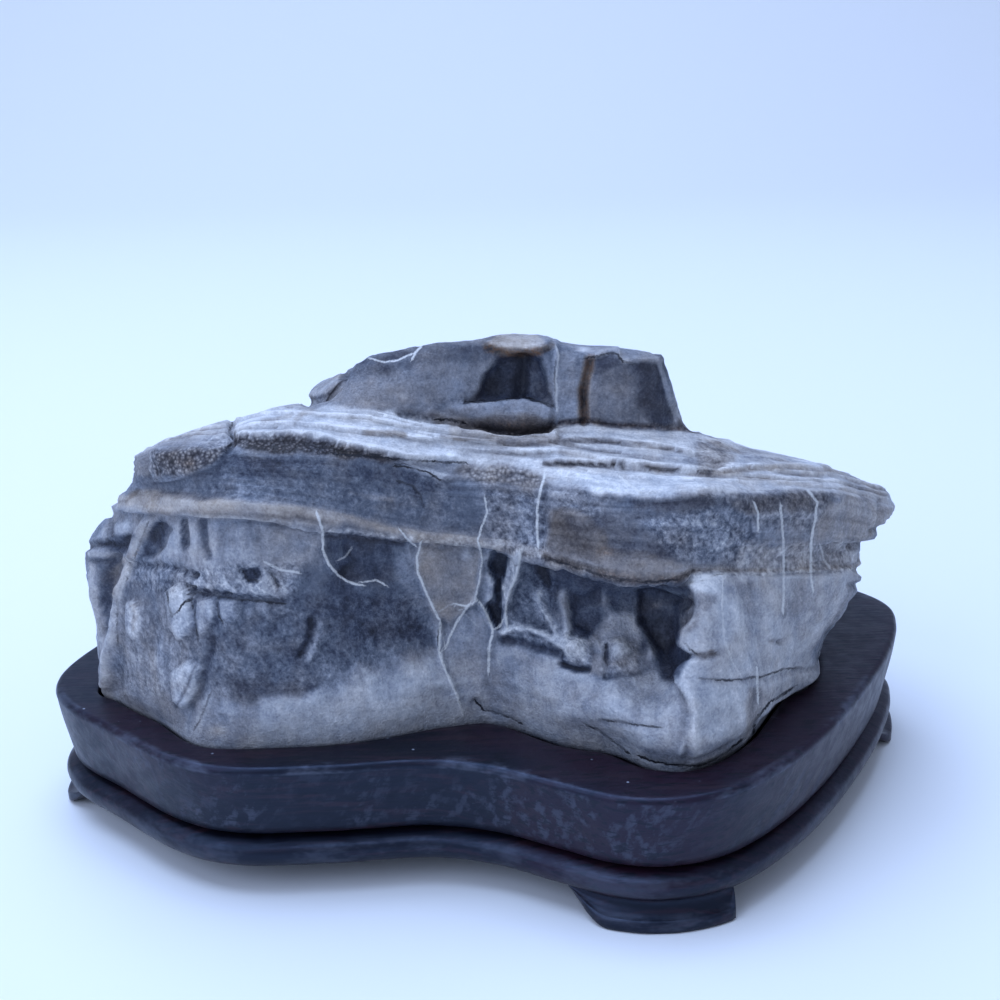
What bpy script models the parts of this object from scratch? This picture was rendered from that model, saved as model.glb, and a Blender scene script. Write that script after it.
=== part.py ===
"""A scholars rock on its stand.

A low, layered stone, flat-topped like a small mesa, sits in the hollow of a stand carved from one
block of dark hardwood. X runs to the viewer's right, Y away from the viewer and Z up, in metres.
The origin is on the table, under the middle of the stand.
"""
import bpy
import bmesh
import numpy as np

MM = 0.001

# Stand heights and widths, in millimetres
STAND_TOP = 19.9
WALL_FOOT = 8.9
GROOVE_LOW = 8.2
ROLL_TOP = 7.3
UNDERSIDE = 4.3
EDGE_ROUND = 0.9
WALL_TAPER = 1.6
GROOVE_DEPTH = 3.4
PAD_HEIGHT = 1.9
PAD_REACH = 0.4
FOOT_WIDTH = 8.0

# The hollow that the stone sits in
SEAT_FLOOR = 17.3
SEAT_GAP = 0.8
SEAT_FRONT_GAP = 1.3
STONE_SOLE = 17.7

# How finely the shapes are drawn
STAND_PITCH = 4.2
TAIL_PITCH = 1.5
SEAT_POINTS = 96
COLUMNS_PER_STATION = 4

# The edge of the stand's top, seen from above, from the left corner round the front
STAND_OUTLINE = [
    (-65.0, -19.0), (-62.4, -28.0), (-54.1, -36.2), (-44.1, -45.1), (-35.0, -49.0),
    (-22.0, -49.2), (-9.0, -48.4), (0.0, -50.4), (8.0, -54.7), (16.0, -58.8),
    (24.0, -59.6), (32.5, -56.6), (41.3, -48.7), (50.3, -36.8), (59.8, -20.3),
    (64.5, -8.0), (64.3, 0.0), (57.5, 8.5), (46.5, 19.0), (34.5, 30.5),
    (22.0, 42.5), (9.5, 53.5), (-1.5, 59.3), (-13.5, 58.8), (-23.5, 52.0),
    (-31.0, 42.5), (-38.0, 32.0), (-45.0, 20.0), (-52.5, 7.5), (-61.0, -7.0),
]

# Each foot: its corner of the outline, the pad's length before and after it along the outline,
# and the lengths of the two tails that sweep up to the moulding
FEET = [
    ((-65.0, -18.0), 6.5, 3.8, 8.0, 8.0),
    ((23.5, -59.6), 8.5, 8.6, 9.5, 2.0),
    ((64.8, -5.0), 6.0, 5.0, 7.0, 7.0),
    ((-7.5, 60.0), 8.5, 8.5, 9.0, 9.0),
]

# The stone as a stack of closed rings of 24 stations, from its foot to its crown. The first 15
# stations run along the front from left to right, the other 9 go round the back to the left.
STONE_RINGS = [
    # where it meets the stand
    [(-57, -22, 19.9), (-53.5, -28.5, 19.9), (-46.5, -35, 19.9), (-39.5, -42, 19.9),
     (-30, -43, 19.9), (-18, -42, 19.9), (-5.5, -38, 19.9), (1.5, -37.5, 20.2), (10, -43.3, 20.3),
     (16.5, -46, 20.3), (21.5, -50.5, 19.9), (27.5, -51, 19.9), (34.5, -45, 19.9),
     (41.5, -33, 19.9), (47.3, -27, 19.9),
     (49.8, -10, 19.9), (47.5, 5, 19.9), (38, 17, 19.9), (25.5, 28.5, 19.9), (12, 40, 19.9),
     (-3, 48.5, 19.9), (-18, 44.5, 19.9), (-32, 26, 19.9), (-46, 3, 19.9)],
    # low on the body
    [(-56.8, -21, 22), (-53.7, -28.5, 23), (-43.5, -38.5, 25.5), (-35, -43, 27), (-25.5, -44, 27),
     (-14.5, -42, 26), (-4.5, -38, 25), (2, -38, 25), (9.5, -43.5, 25), (16, -48, 26.5),
     (21.5, -51.5, 25.5), (26.5, -52, 25), (34, -45.5, 24.5), (42, -34, 22.5), (47.5, -26, 21),
     (49.8, -9, 22.5), (48.5, 6, 23.5), (39.5, 18.5, 24), (27, 30, 24), (13, 41.5, 24), (-3.5, 50, 24),
     (-19, 46, 24), (-33.5, 27, 24), (-47, 3, 24)],
    # belly
    [(-58, -19, 29), (-52, -29.5, 32.5), (-42.5, -38.5, 35.5), (-33.5, -43, 36.5),
     (-24, -42.5, 35.5), (-14, -39.5, 33), (-5, -37, 31.5), (2, -37.5, 31.5), (10, -41, 31.5),
     (16.5, -44, 31), (23, -43.5, 30.5), (27.5, -49, 35.5), (36, -42, 31), (44, -32, 27),
     (48, -23, 23),
     (50.3, -8, 26), (49, 7, 27), (40.5, 19.5, 27.5), (27.5, 31, 28), (13.5, 42, 28), (-4, 50, 28),
     (-20, 46.5, 28), (-35, 27.5, 28.5), (-49, 3, 29)],
    # waist
    [(-58.5, -19, 40), (-48.5, -30.5, 42.5), (-40.5, -38, 45.5), (-32, -42.5, 47),
     (-23, -41.5, 45.5), (-13.5, -38.5, 42.5), (-5, -37, 41), (3, -36.5, 40), (10, -38, 38),
     (16.5, -39.5, 37), (23.5, -40.5, 36.5), (27.5, -46.5, 41.5), (36.5, -40.5, 37),
     (47, -31, 32.5), (52.5, -22, 30),
     (53.8, -8, 30), (51, 7.5, 30.5), (40.5, 20, 31.5), (27, 31, 32), (13, 41, 32), (-4, 48, 32),
     (-19.5, 45, 32.5), (-35.5, 27, 34), (-51.5, 2, 37)],
    # tucked in under the seam
    [(-53, -22, 47), (-46, -32, 49), (-39, -38.5, 51), (-30.5, -42, 52), (-22, -41, 50),
     (-13, -38.5, 47.5), (-4.5, -36.5, 45.5), (3.5, -37, 44.5), (10, -39.5, 43), (16.5, -41, 41.5),
     (23, -42, 40.5), (28, -45, 43.5), (36.5, -39.5, 41), (49, -29.5, 37), (53.5, -22, 33.5),
     (55.5, -7, 33), (51.5, 8, 33), (39.5, 20, 34), (26.5, 30.5, 34.5), (12.5, 39.5, 35),
     (-4, 46.5, 35), (-18.5, 43.5, 35.5), (-34, 25.5, 38), (-49.5, 1.5, 42)],
    # the seam's ridge
    [(-51.5, -25, 49.5), (-45, -33, 52.5), (-37.5, -40, 54), (-30, -43.5, 54.5),
     (-21.5, -42.5, 52.5), (-12.5, -40, 49.5), (-4.5, -38, 47.5), (3.5, -38.5, 46.5),
     (10, -42, 45.5), (16, -45, 44.5), (22.5, -46.5, 44.5), (28, -45, 45), (37, -39, 42),
     (48.5, -30, 38.5), (54, -22, 35),
     (57, -7, 34.5), (53, 9, 34.5), (41, 21, 35.5), (28, 32, 36), (13, 41, 36.5), (-4, 47.5, 37),
     (-19, 44.5, 37.5), (-34.5, 26, 40), (-49, 1, 44)],
    # just above the seam
    [(-50.5, -25.5, 50.5), (-44, -33, 53.5), (-37, -39, 55.5), (-29.5, -42.5, 56),
     (-21, -41.5, 54), (-12.5, -39, 51), (-4.5, -37.5, 48.5), (3.5, -38, 48), (10, -41.5, 48),
     (16, -45, 48), (22.5, -47, 48), (28, -45.5, 47), (36.5, -39.5, 44), (48, -30, 40.5),
     (54, -22, 36.5),
     (57, -7, 35.5), (53, 9, 35.5), (41, 20.5, 36.5), (27.5, 31, 37.2), (13, 39.5, 38),
     (-4, 46, 38.5), (-18.5, 43, 39), (-34, 25, 41.5), (-48, 1, 45.5)],
    # middle band
    [(-48.5, -27, 53.2), (-43.5, -34, 56.5), (-37, -38.5, 58), (-29, -41, 58), (-21, -40.5, 57),
     (-12, -38.5, 54.5), (-4.5, -37.5, 52.5), (3.5, -38, 52), (10, -41, 51.5), (16.5, -44.5, 52),
     (22.5, -46.5, 52), (28, -45.5, 51.5), (37, -40, 48.5), (47.5, -31.5, 45), (57, -20, 39),
     (59.5, -6, 37.5), (54.5, 9, 37), (41, 19.5, 38.5), (27, 29, 39.5), (12.5, 36.5, 40.5),
     (-4, 42, 41.5), (-17.5, 39, 41.5), (-32.5, 22, 43.5), (-46.5, 0, 48)],
    # brow, where the front turns over
    [(-48, -27, 56), (-43, -34, 59.5), (-36.5, -37.5, 61), (-29, -39.5, 60.5), (-21, -39, 60),
     (-12, -37.5, 58.5), (-4.5, -36.5, 55.5), (3.5, -37, 55), (10, -40, 55), (16.5, -43, 55),
     (22.5, -44.5, 55.5), (28.5, -44.5, 55.5), (37, -39.5, 52.5), (47, -31.5, 49.5),
     (59.5, -17, 41),
     (60.5, -4.5, 39.5), (54, 8.5, 38), (40, 18, 40), (26, 26.5, 42), (12, 33, 43.5),
     (-4, 38, 44.5), (-16.5, 35, 44), (-31, 19.5, 45), (-45, -1, 49.5)],
    # shoulder
    [(-47.5, -25, 56), (-42, -30, 60), (-36, -33, 61), (-29, -34.5, 62.5), (-21, -34.5, 62),
     (-12, -34, 60.5), (-4.5, -33.5, 58.5), (3.5, -34, 57.5), (10.5, -36, 57), (16.5, -38.5, 56.5),
     (23, -40, 56), (29, -39.5, 55.5), (37.5, -35.5, 53.5), (48.5, -27, 50), (60.8, -13.5, 41.8),
     (59.5, -5, 41), (52, 7, 38.5), (39, 15.5, 40.5), (25, 22, 42.5), (12, 28, 44.5),
     (-3.5, 31.5, 45.5), (-15, 28, 45), (-29, 14, 46.5), (-42.5, -3, 50.5)],
    # terrace below the cap
    [(-42, -21, 57.5), (-37, -24, 60), (-32.5, -27.5, 61.5), (-27.5, -30, 63.5),
     (-20, -31.5, 63.5), (-13, -32, 62.5), (-4, -32, 61), (3.5, -32, 59.5), (10, -32.5, 59),
     (17, -33.5, 58), (23.5, -34.5, 57.5), (29, -34, 56.5), (37, -30, 54.5), (47, -22, 50.5),
     (57, -12, 45),
     (53.5, -4, 43.5), (46, 4, 42), (35, 11, 43.5), (23, 16, 45.5), (10.5, 20, 47.5),
     (-3, 22, 48.5), (-13, 19, 49), (-25, 8, 50.5), (-36, -5, 53.5)],
    # foot of the cap
    [(-25.5, -22, 62), (-24, -25, 62.5), (-22, -27, 63), (-18.5, -28.5, 63), (-14.5, -29.5, 63),
     (-9, -30, 62), (-4, -30, 61.5), (2.5, -30.5, 60), (8.5, -30.5, 60), (13.5, -30, 60.5),
     (18.5, -30, 60), (23, -29.5, 59.5), (26, -28, 58.5), (28.5, -25.5, 58), (30.5, -22, 56.5),
     (31.5, -17, 54.5), (31, -10, 52), (27, -2, 51.5), (20, 4, 51.5), (11, 8.5, 52), (0, 10, 53),
     (-11, 8, 54), (-20, 1, 55), (-26.5, -10, 58)],
    # the cap's wall
    [(-23, -22, 63), (-21.5, -24, 63.5), (-19.5, -26, 64.5), (-16.5, -27.5, 65.5),
     (-13, -28.5, 66), (-8, -29, 66.5), (-3.5, -28.5, 66), (2.5, -27, 65), (8, -27.5, 65),
     (13.5, -29, 65.5), (19, -29.5, 65.5), (22.5, -29, 65), (25, -27, 64), (26, -25, 63),
     (27, -21, 60.5),
     (28.5, -16, 57), (28, -9.5, 56), (24.5, -3, 57), (18, 2, 58), (10, 6, 59), (0, 7, 59.5),
     (-9.5, 5, 59.5), (-17.5, -1, 59), (-24, -11, 61.8)],
    # the cap's rim
    [(-19, -21, 66), (-18, -22.5, 67), (-16.5, -24, 68.5), (-14.5, -25.5, 69.5), (-12, -26.5, 70),
     (-8, -27, 70.5), (-3.5, -27, 71), (3, -26.5, 71), (8, -27, 70.5), (13.5, -28, 69.5),
     (19, -28.5, 69.5), (22, -28, 69), (23.5, -26.5, 68.5), (24.5, -24, 67.5), (25.5, -20, 64.5),
     (26, -15, 62), (25, -9.5, 62), (21.5, -4.5, 62.5), (16, -0.5, 63), (9, 2, 63), (0.5, 3, 63),
     (-7.5, 1.5, 63), (-13.5, -4, 63), (-18, -13, 65)],
    # the cap's top
    [(-16, -19, 67.3), (-15, -20.5, 68), (-14, -21.5, 68.4), (-12, -22.5, 69), (-10, -23, 69.6),
     (-7, -23.5, 70.2), (-3, -23.5, 70.8), (3, -23, 71.4), (8, -23, 70.9), (13, -23.5, 69.6),
     (18, -23.5, 69.3), (20.5, -23, 68.9), (22, -22, 68.2), (23, -20.5, 67.5), (24, -18.5, 66.3),
     (23.5, -15.5, 65.5), (22, -12, 64.5), (18.5, -9, 64), (14, -6.5, 64.3), (8, -5, 65),
     (1.5, -4.5, 65), (-4.5, -5.5, 65), (-10, -9, 65), (-14.5, -14.5, 66.8)],
]
STONE_CROWN = (4.0, -15.0, 68.8)

# Rows of faces between one ring and the next, closer where the stone is stepped
ROWS_PER_RING = [1, 2, 2, 2, 1, 1, 2, 1, 2, 2, 3, 2, 2, 1]


def hermite(before, start, end, after, t):
    """Catmull-Rom blend from start to end, with t from 0 to 1."""
    slope_a = (end - before) / 2
    slope_b = (after - start) / 2
    return ((2 * t**3 - 3 * t**2 + 1) * start + (t**3 - 2 * t**2 + t) * slope_a
            + (3 * t**2 - 2 * t**3) * end + (t**3 - t**2) * slope_b)


def closed_spline(points, steps):
    """Points along a smooth closed curve, with equal steps between each pair of given points."""
    pts = np.array(points, float)
    count = len(pts)
    out = []
    for i in range(count):
        for k in range(steps):
            out.append(hermite(pts[i - 1], pts[i], pts[(i + 1) % count],
                               pts[(i + 2) % count], k / steps))
    return np.array(out)


def distances(loop):
    """Distance run along a closed loop at each point, with the full length last."""
    closed = np.vstack([loop, loop[:1]])
    return np.concatenate([[0], np.cumsum(np.linalg.norm(np.diff(closed, axis=0), axis=1))])


def points_at(loop, wanted):
    """Points on a closed loop at the wanted distances along it."""
    run = distances(loop)
    closed = np.vstack([loop, loop[:1]])
    return np.stack([np.interp(wanted, run, closed[:, axis]) for axis in range(2)], 1)


def outward(loop):
    """Unit normals of a closed loop that runs anticlockwise from above."""
    along = np.roll(loop, -1, axis=0) - np.roll(loop, 1, axis=0)
    normal = np.stack([along[:, 1], -along[:, 0]], 1)
    return normal / np.linalg.norm(normal, axis=1)[:, None]


def level(loop, inset, height):
    """The loop moved in by inset and lifted to a height, as 3-D points."""
    flat = loop - outward(loop) * np.reshape(inset, (-1, 1))
    return np.column_stack([flat, np.full(len(flat), height)])


def loft(name, rings, collection, crown=None):
    """A skin over closed rings of equal count, first to last, capped at both ends."""
    bm = bmesh.new()
    loop = [bm.verts.new(point * MM) for point in rings[0]]
    bm.faces.new(loop)
    count = len(loop)
    for ring in rings[1:]:
        upper = [bm.verts.new(point * MM) for point in ring]
        for i in range(count):
            j = (i + 1) % count
            bm.faces.new((loop[i], loop[j], upper[j], upper[i]))
        loop = upper
    cap = bm.faces.new(loop)
    if crown is not None:
        centre = bmesh.ops.poke(bm, faces=[cap])["verts"][0]
        centre.co = [value * MM for value in crown]
    bmesh.ops.recalc_face_normals(bm, faces=bm.faces)
    return finish(name, bm, collection)


def finish(name, bm, collection):
    """The bmesh as an object in a collection, shaded smooth but for its hard edges."""
    mesh = bpy.data.meshes.new(name)
    bm.to_mesh(mesh)
    bm.free()
    mesh.shade_smooth()
    mesh.set_sharp_from_angle(angle=np.radians(40))
    piece = bpy.data.objects.new(name, mesh)
    collection.objects.link(piece)
    return piece


def material(name, colour, roughness):
    """A plain Principled material."""
    mat = bpy.data.materials.new(name)
    mat.use_nodes = True
    shader = mat.node_tree.nodes["Principled BSDF"]
    shader.inputs["Base Color"].default_value = (*colour, 1.0)
    shader.inputs["Roughness"].default_value = roughness
    shader.inputs["Metallic"].default_value = 0.0
    return mat


def cut(piece, cutter):
    """Cut the cutter's shape out of the piece."""
    cutter.hide_render = True
    cutter.display_type = "WIRE"
    step = piece.modifiers.new(cutter.name, "BOOLEAN")
    step.object = cutter
    step.operation = "DIFFERENCE"
    step.solver = "EXACT"


def foot_places(loop):
    """Where each foot's tail starts, pad starts, pad ends and tail ends, along the outline."""
    run = distances(loop)
    places = []
    for corner, pad_before, pad_after, tail_before, tail_after in FEET:
        middle = run[int(np.argmin(np.linalg.norm(loop - np.array(corner), axis=1)))]
        start, end = middle - pad_before, middle + pad_after
        places.append((start - tail_before, start, end, end + tail_after))
    return places


def stand_stations(loop):
    """Distances along the outline to draw at: close together in the feet's tails."""
    whole = distances(loop)[-1]
    marks = set()
    for tail_start, pad_start, pad_end, tail_end in foot_places(loop):
        for low, high in ((tail_start, pad_start), (pad_end, tail_end)):
            steps = max(2, int(round((high - low) / TAIL_PITCH)))
            marks.update(round(value % whole, 4) for value in np.linspace(low, high, steps + 1))
    marks = sorted(marks)
    filled = []
    for low, high in zip(marks, marks[1:] + [marks[0] + whole]):
        steps = max(1, int(round((high - low) / STAND_PITCH)))
        filled.extend(np.linspace(low, high, steps, endpoint=False))
    return np.sort(np.array(filled) % whole)


def foot_share(loop, stations):
    """1 over a foot's pad, 0 clear of the feet, with an S-shaped sweep in between."""
    whole = distances(loop)[-1]
    share = np.zeros(len(stations))
    for tail_start, pad_start, pad_end, tail_end in foot_places(loop):
        for turn in (-whole, 0.0, whole):
            rise = np.interp(stations + turn, (tail_start, pad_start, pad_end, tail_end),
                             (0.0, 1.0, 1.0, 0.0), left=0.0, right=0.0)
            share = np.maximum(share, rise)
    return share**2 * (3 - 2 * share)


def stand_body(loop, collection):
    """One carved block: feet that grow out of the moulding, groove, top tier with a soft edge."""
    stations = stand_stations(loop)
    edge = points_at(loop, stations)
    share = foot_share(loop, stations)
    normals = outward(edge)
    wall = STAND_TOP - WALL_FOOT
    # inset where there is a foot, inset where there is none, and depth below the moulding
    # as a part of the foot's full depth
    foot_profile = [
        (FOOT_WIDTH + 0.6, 3.4, 0.0), (FOOT_WIDTH, 3.0, 1.0), (-PAD_REACH, 2.6, 1.0),
        (-PAD_REACH, 2.2, 1.0 - PAD_HEIGHT / UNDERSIDE), (0.9, 1.9, 0.47),
        (1.6, 1.6, 0.27), (1.5, 1.3, 0.0),
    ]
    profile = [
        (1.0, UNDERSIDE), (0.35, UNDERSIDE + 0.9), (0.1, UNDERSIDE + 1.8),
        (0.5, ROLL_TOP), (1.9, GROOVE_LOW), (GROOVE_DEPTH, GROOVE_LOW + 0.1),
        (GROOVE_DEPTH, WALL_FOOT - 0.1), (WALL_TAPER, WALL_FOOT),
        (WALL_TAPER * 0.45, WALL_FOOT + wall * 0.4), (0.0, STAND_TOP - EDGE_ROUND),
        (EDGE_ROUND * 0.3, STAND_TOP - EDGE_ROUND * 0.3), (EDGE_ROUND, STAND_TOP),
    ]
    rings = []
    for with_foot, without, depth in foot_profile:
        inset = without + (with_foot - without) * share
        flat = edge - normals * inset[:, None]
        rings.append(np.column_stack([flat, UNDERSIDE * (1 - depth * share)]))
    rings.extend(level(edge, inset, z) for inset, z in profile)
    return loft("stand", rings, collection)


def stone_rings():
    """The rings drawn smooth both ways, with the sole under the lowest and the crown on top."""
    cage = [closed_spline(ring, COLUMNS_PER_STATION) for ring in STONE_RINGS]
    contact = cage[0]
    sole = []
    for inset, z in ((4.0, STONE_SOLE), (1.6, STONE_SOLE), (0.5, STONE_SOLE + 0.8)):
        sole.append(level(contact[:, :2], inset, z))
    rings = [sole[0], sole[1], sole[2]]
    last = len(cage) - 1
    for i, rows in enumerate(ROWS_PER_RING):
        below = cage[i - 1] if i else contact * 2 - cage[1]
        above = cage[min(i + 2, last)]
        for k in range(rows):
            rings.append(hermite(below, cage[i], cage[i + 1], above, k / rows))
    rings.append(cage[last])
    centre = np.array(STONE_CROWN)
    rings.append(centre + (cage[last] - centre) * 0.55)
    return rings


def seat_cutter(contact, collection):
    """The hollow in the stand's top: the stone's foot with room all round, most at the front."""
    loop = contact[:, :2]
    loop = points_at(loop, np.linspace(0, distances(loop)[-1], SEAT_POINTS, endpoint=False))
    front = np.exp(-(((loop[:, 0] - 13.0) / 14.0) ** 2)) * (loop[:, 1] < 0)
    room = -(SEAT_GAP + SEAT_FRONT_GAP * front)
    rings = [level(loop, room, SEAT_FLOOR), level(loop, room, STAND_TOP + 3.0)]
    return loft("seat", rings, collection)


for old in list(bpy.data.objects):
    bpy.data.objects.remove(old)

parts = bpy.data.collections.new("scholars rock")
cutters = bpy.data.collections.new("cutters")
bpy.context.scene.collection.children.link(parts)
bpy.context.scene.collection.children.link(cutters)

stand = stand_body(closed_spline(STAND_OUTLINE, 8), parts)
stand.data.materials.append(material("dark hardwood", (0.030, 0.016, 0.018), 0.35))

rock_rings = stone_rings()
stone = loft("stone", rock_rings, parts, crown=STONE_CROWN)
stone.data.materials.append(material("layered stone", (0.33, 0.34, 0.38), 0.55))
cut(stand, seat_cutter(closed_spline(STONE_RINGS[0], COLUMNS_PER_STATION), cutters))
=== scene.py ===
"""A layered scholars rock resting in the seat of its carved dark hardwood stand."""
import math

import bmesh
import bpy
import numpy as np
from mathutils import Matrix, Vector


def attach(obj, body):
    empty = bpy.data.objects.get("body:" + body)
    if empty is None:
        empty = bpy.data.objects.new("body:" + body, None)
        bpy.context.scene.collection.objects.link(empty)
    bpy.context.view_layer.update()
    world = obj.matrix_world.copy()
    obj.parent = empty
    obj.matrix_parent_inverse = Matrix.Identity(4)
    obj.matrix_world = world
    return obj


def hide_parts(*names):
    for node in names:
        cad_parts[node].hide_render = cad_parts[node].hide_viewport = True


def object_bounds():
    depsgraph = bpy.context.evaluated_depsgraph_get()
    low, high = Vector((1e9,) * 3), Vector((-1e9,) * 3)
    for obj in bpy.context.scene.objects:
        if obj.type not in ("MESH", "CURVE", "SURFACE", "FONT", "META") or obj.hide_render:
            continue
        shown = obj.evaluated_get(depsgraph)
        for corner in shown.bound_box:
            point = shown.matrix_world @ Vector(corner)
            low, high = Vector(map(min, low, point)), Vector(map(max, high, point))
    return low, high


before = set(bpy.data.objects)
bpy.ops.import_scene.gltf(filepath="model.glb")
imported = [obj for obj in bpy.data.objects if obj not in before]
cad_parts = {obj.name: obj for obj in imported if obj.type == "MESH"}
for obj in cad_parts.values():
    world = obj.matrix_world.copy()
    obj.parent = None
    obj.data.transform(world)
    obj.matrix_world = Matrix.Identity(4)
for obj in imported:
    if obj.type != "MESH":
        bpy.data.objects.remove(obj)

cad_low, cad_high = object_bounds()
MM = 0.001

# Camera: a little above the front edge of the stand, looking 20 degrees down on the stone's face
# and rolled slightly, with a 54 mm lens.
EYE_MM = (2.24, -224.0, 120.48)
LOOK_DOWN = math.radians(20)
CAMERA_ROLL = math.radians(-1.5)
camera = bpy.data.objects.new("camera", bpy.data.cameras.new("camera"))
camera.data.sensor_width = 36
camera.data.lens = 54
camera.data.clip_start = 0.01
camera.data.clip_end = 20
camera.matrix_world = (Matrix.Translation([value * MM for value in EYE_MM])
                       @ Matrix.Rotation(math.radians(90) - LOOK_DOWN, 4, "X")
                       @ Matrix.Rotation(CAMERA_ROLL, 4, "Z"))
bpy.context.scene.collection.objects.link(camera)
bpy.context.scene.camera = camera

# Floor and backdrop: one sheet of white studio paper that lies flat under the stand and curves up far behind
# it. Its colour is painted darker and cooler towards its top, a painted falloff of the room's cool light.
SHEET_FRONT = -1.6
SHEET_BEND = 0.55
SHEET_RADIUS = 0.5
SHEET_HALF_WIDTH = 3.0
SHEET_TOP = 2.4
bm = bmesh.new()
edge = [bm.verts.new((x, SHEET_FRONT, 0)) for x in (-SHEET_HALF_WIDTH, SHEET_HALF_WIDTH)]
strip = [bm.edges.new(edge)]


def pull_sheet(edges, offset):
    """The sheet's free edge drawn on by an offset."""
    made = bmesh.ops.extrude_edge_only(bm, edges=edges)["geom"]
    bmesh.ops.translate(bm, vec=offset, verts=[v for v in made if isinstance(v, bmesh.types.BMVert)])
    return [e for e in made if isinstance(e, bmesh.types.BMEdge)]


strip = pull_sheet(strip, (0, SHEET_BEND - SHEET_FRONT, 0))
BEND_STEPS = 24
for k in range(BEND_STEPS):
    turn_a, turn_b = (math.pi / 2 * (k + j) / BEND_STEPS for j in (0, 1))
    strip = pull_sheet(strip, (0, SHEET_RADIUS * (math.sin(turn_b) - math.sin(turn_a)),
                               SHEET_RADIUS * (math.cos(turn_a) - math.cos(turn_b))))
strip = pull_sheet(strip, (0, 0, SHEET_TOP - SHEET_RADIUS))
bmesh.ops.recalc_face_normals(bm, faces=bm.faces)
sheet_mesh = bpy.data.meshes.new("paper_sheet")
bm.to_mesh(sheet_mesh)
bm.free()
sheet_mesh.shade_smooth()
paper_sheet = bpy.data.objects.new("paper_sheet", sheet_mesh)
bpy.context.scene.collection.objects.link(paper_sheet)
paper = bpy.data.materials.new("white_paper")
paper.use_nodes = True
nodes, links = paper.node_tree.nodes, paper.node_tree.links
shader = nodes["Principled BSDF"]
shader.inputs["Roughness"].default_value = 0.9
shader.inputs["Specular IOR Level"].default_value = 0.1
where = nodes.new("ShaderNodeTexCoord")
apart = nodes.new("ShaderNodeSeparateXYZ")
links.new(where.outputs["Object"], apart.inputs[0])
rise = nodes.new("ShaderNodeMapRange")
rise.interpolation_type = "SMOOTHSTEP"
rise.inputs["From Min"].default_value = 0.0
rise.inputs["From Max"].default_value = 1.1
links.new(apart.outputs["Z"], rise.inputs["Value"])
# painted shade: the paper's colour darkens with height where the room's light falls off
painted_falloff = nodes.new("ShaderNodeMix")
painted_falloff.data_type = "RGBA"
painted_falloff.inputs["A"].default_value = (0.86, 0.87, 0.88, 1)
painted_falloff.inputs["B"].default_value = (0.40, 0.405, 0.47, 1)
links.new(rise.outputs["Result"], painted_falloff.inputs["Factor"])
links.new(painted_falloff.outputs["Result"], shader.inputs["Base Color"])
sheet_mesh.materials.append(paper)

# Light: a broad soft panel overhead and a little behind, a weaker one from the front left, and
# the even glow of a white room. All of it is cool daylight.
room = bpy.data.worlds.new("white_room")
room.use_nodes = True
room.node_tree.nodes["Background"].inputs["Color"].default_value = (0.60, 0.72, 1.0, 1)
room.node_tree.nodes["Background"].inputs["Strength"].default_value = 0.62
bpy.context.scene.world = room
bpy.context.scene.view_settings.view_transform = "Standard"
PANELS = [
    # name, centre, size, power, colour, aim
    ("panel_overhead", (-0.15, 0.10, 0.85), 0.80, 9.0, (0.50, 0.66, 1.0), (0, 0, 0)),
    ("panel_front_left", (-0.60, -0.55, 0.60), 0.60, 3.0, (0.55, 0.68, 1.0), (0, 0, 0.03)),
]
for name, centre, size, power, colour, aim in PANELS:
    lamp = bpy.data.lights.new(name, "AREA")
    lamp.shape = "SQUARE"
    lamp.size = size
    lamp.energy = power
    lamp.color = colour
    panel = bpy.data.objects.new(name, lamp)
    panel.location = centre
    away = panel.location - Matrix.Translation(aim).to_translation()
    panel.rotation_euler = away.to_track_quat("Z", "Y").to_euler()
    bpy.context.scene.collection.objects.link(panel)

# Stand: one block of dark hardwood, carved to a wavy plan with a sunk seat in its top, a groove
# under the wall, a rounded moulding and four bracket feet that grow out of the moulding. It is
# shaped from a closed net of columns round the plan and rows up the carved profile.
STAND_OUTLINE = [
    (-65.0, -19.0), (-62.4, -28.0), (-54.1, -36.2), (-44.1, -45.1), (-35.0, -49.0),
    (-22.0, -49.2), (-9.0, -48.4), (0.0, -50.4), (8.0, -54.7), (16.0, -58.8),
    (24.0, -59.6), (32.5, -56.6), (41.3, -48.7), (50.3, -36.8), (59.8, -20.3),
    (64.5, -8.0), (64.3, 0.0), (57.5, 8.5), (46.5, 19.0), (34.5, 30.5),
    (22.0, 42.5), (9.5, 53.5), (-1.5, 59.3), (-13.5, 58.8), (-23.5, 52.0),
    (-31.0, 42.5), (-38.0, 32.0), (-45.0, 20.0), (-52.5, 7.5), (-61.0, -7.0),
]
STAND_TOP = 19.9
UNDERSIDE = 4.3
SEAT_FLOOR = 17.3
# each foot: corner, pad before and after it along the outline, tails before and after the pad
FEET = [
    ((-65.0, -18.0), 6.5, 3.8, 8.0, 8.0),
    ((23.5, -59.6), 8.5, 8.6, 9.5, 2.0),
    ((64.8, -5.0), 6.0, 5.0, 7.0, 7.0),
    ((-7.5, 60.0), 8.5, 8.5, 9.0, 9.0),
]
# rows of the foot: inset at a foot, inset between feet, share of the foot's depth
FOOT_ROWS = [
    (9.4, 4.2, 0.0), (8.7, 3.6, 0.05), (8.2, 3.2, 0.55), (8.0, 3.0, 0.95), (7.6, 3.0, 1.0),
    (4.0, 2.8, 1.0), (0.2, 2.7, 1.0), (-0.2, 2.6, 0.985), (-0.38, 2.5, 0.94), (-0.4, 2.4, 0.85),
    (-0.4, 2.3, 0.66), (-0.3, 2.2, 0.60), (0.1, 2.1, 0.57), (0.6, 2.0, 0.53), (1.0, 1.9, 0.45),
    (1.35, 1.75, 0.35), (1.6, 1.6, 0.22), (1.65, 1.45, 0.10), (1.5, 1.3, 0.02),
]
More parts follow.
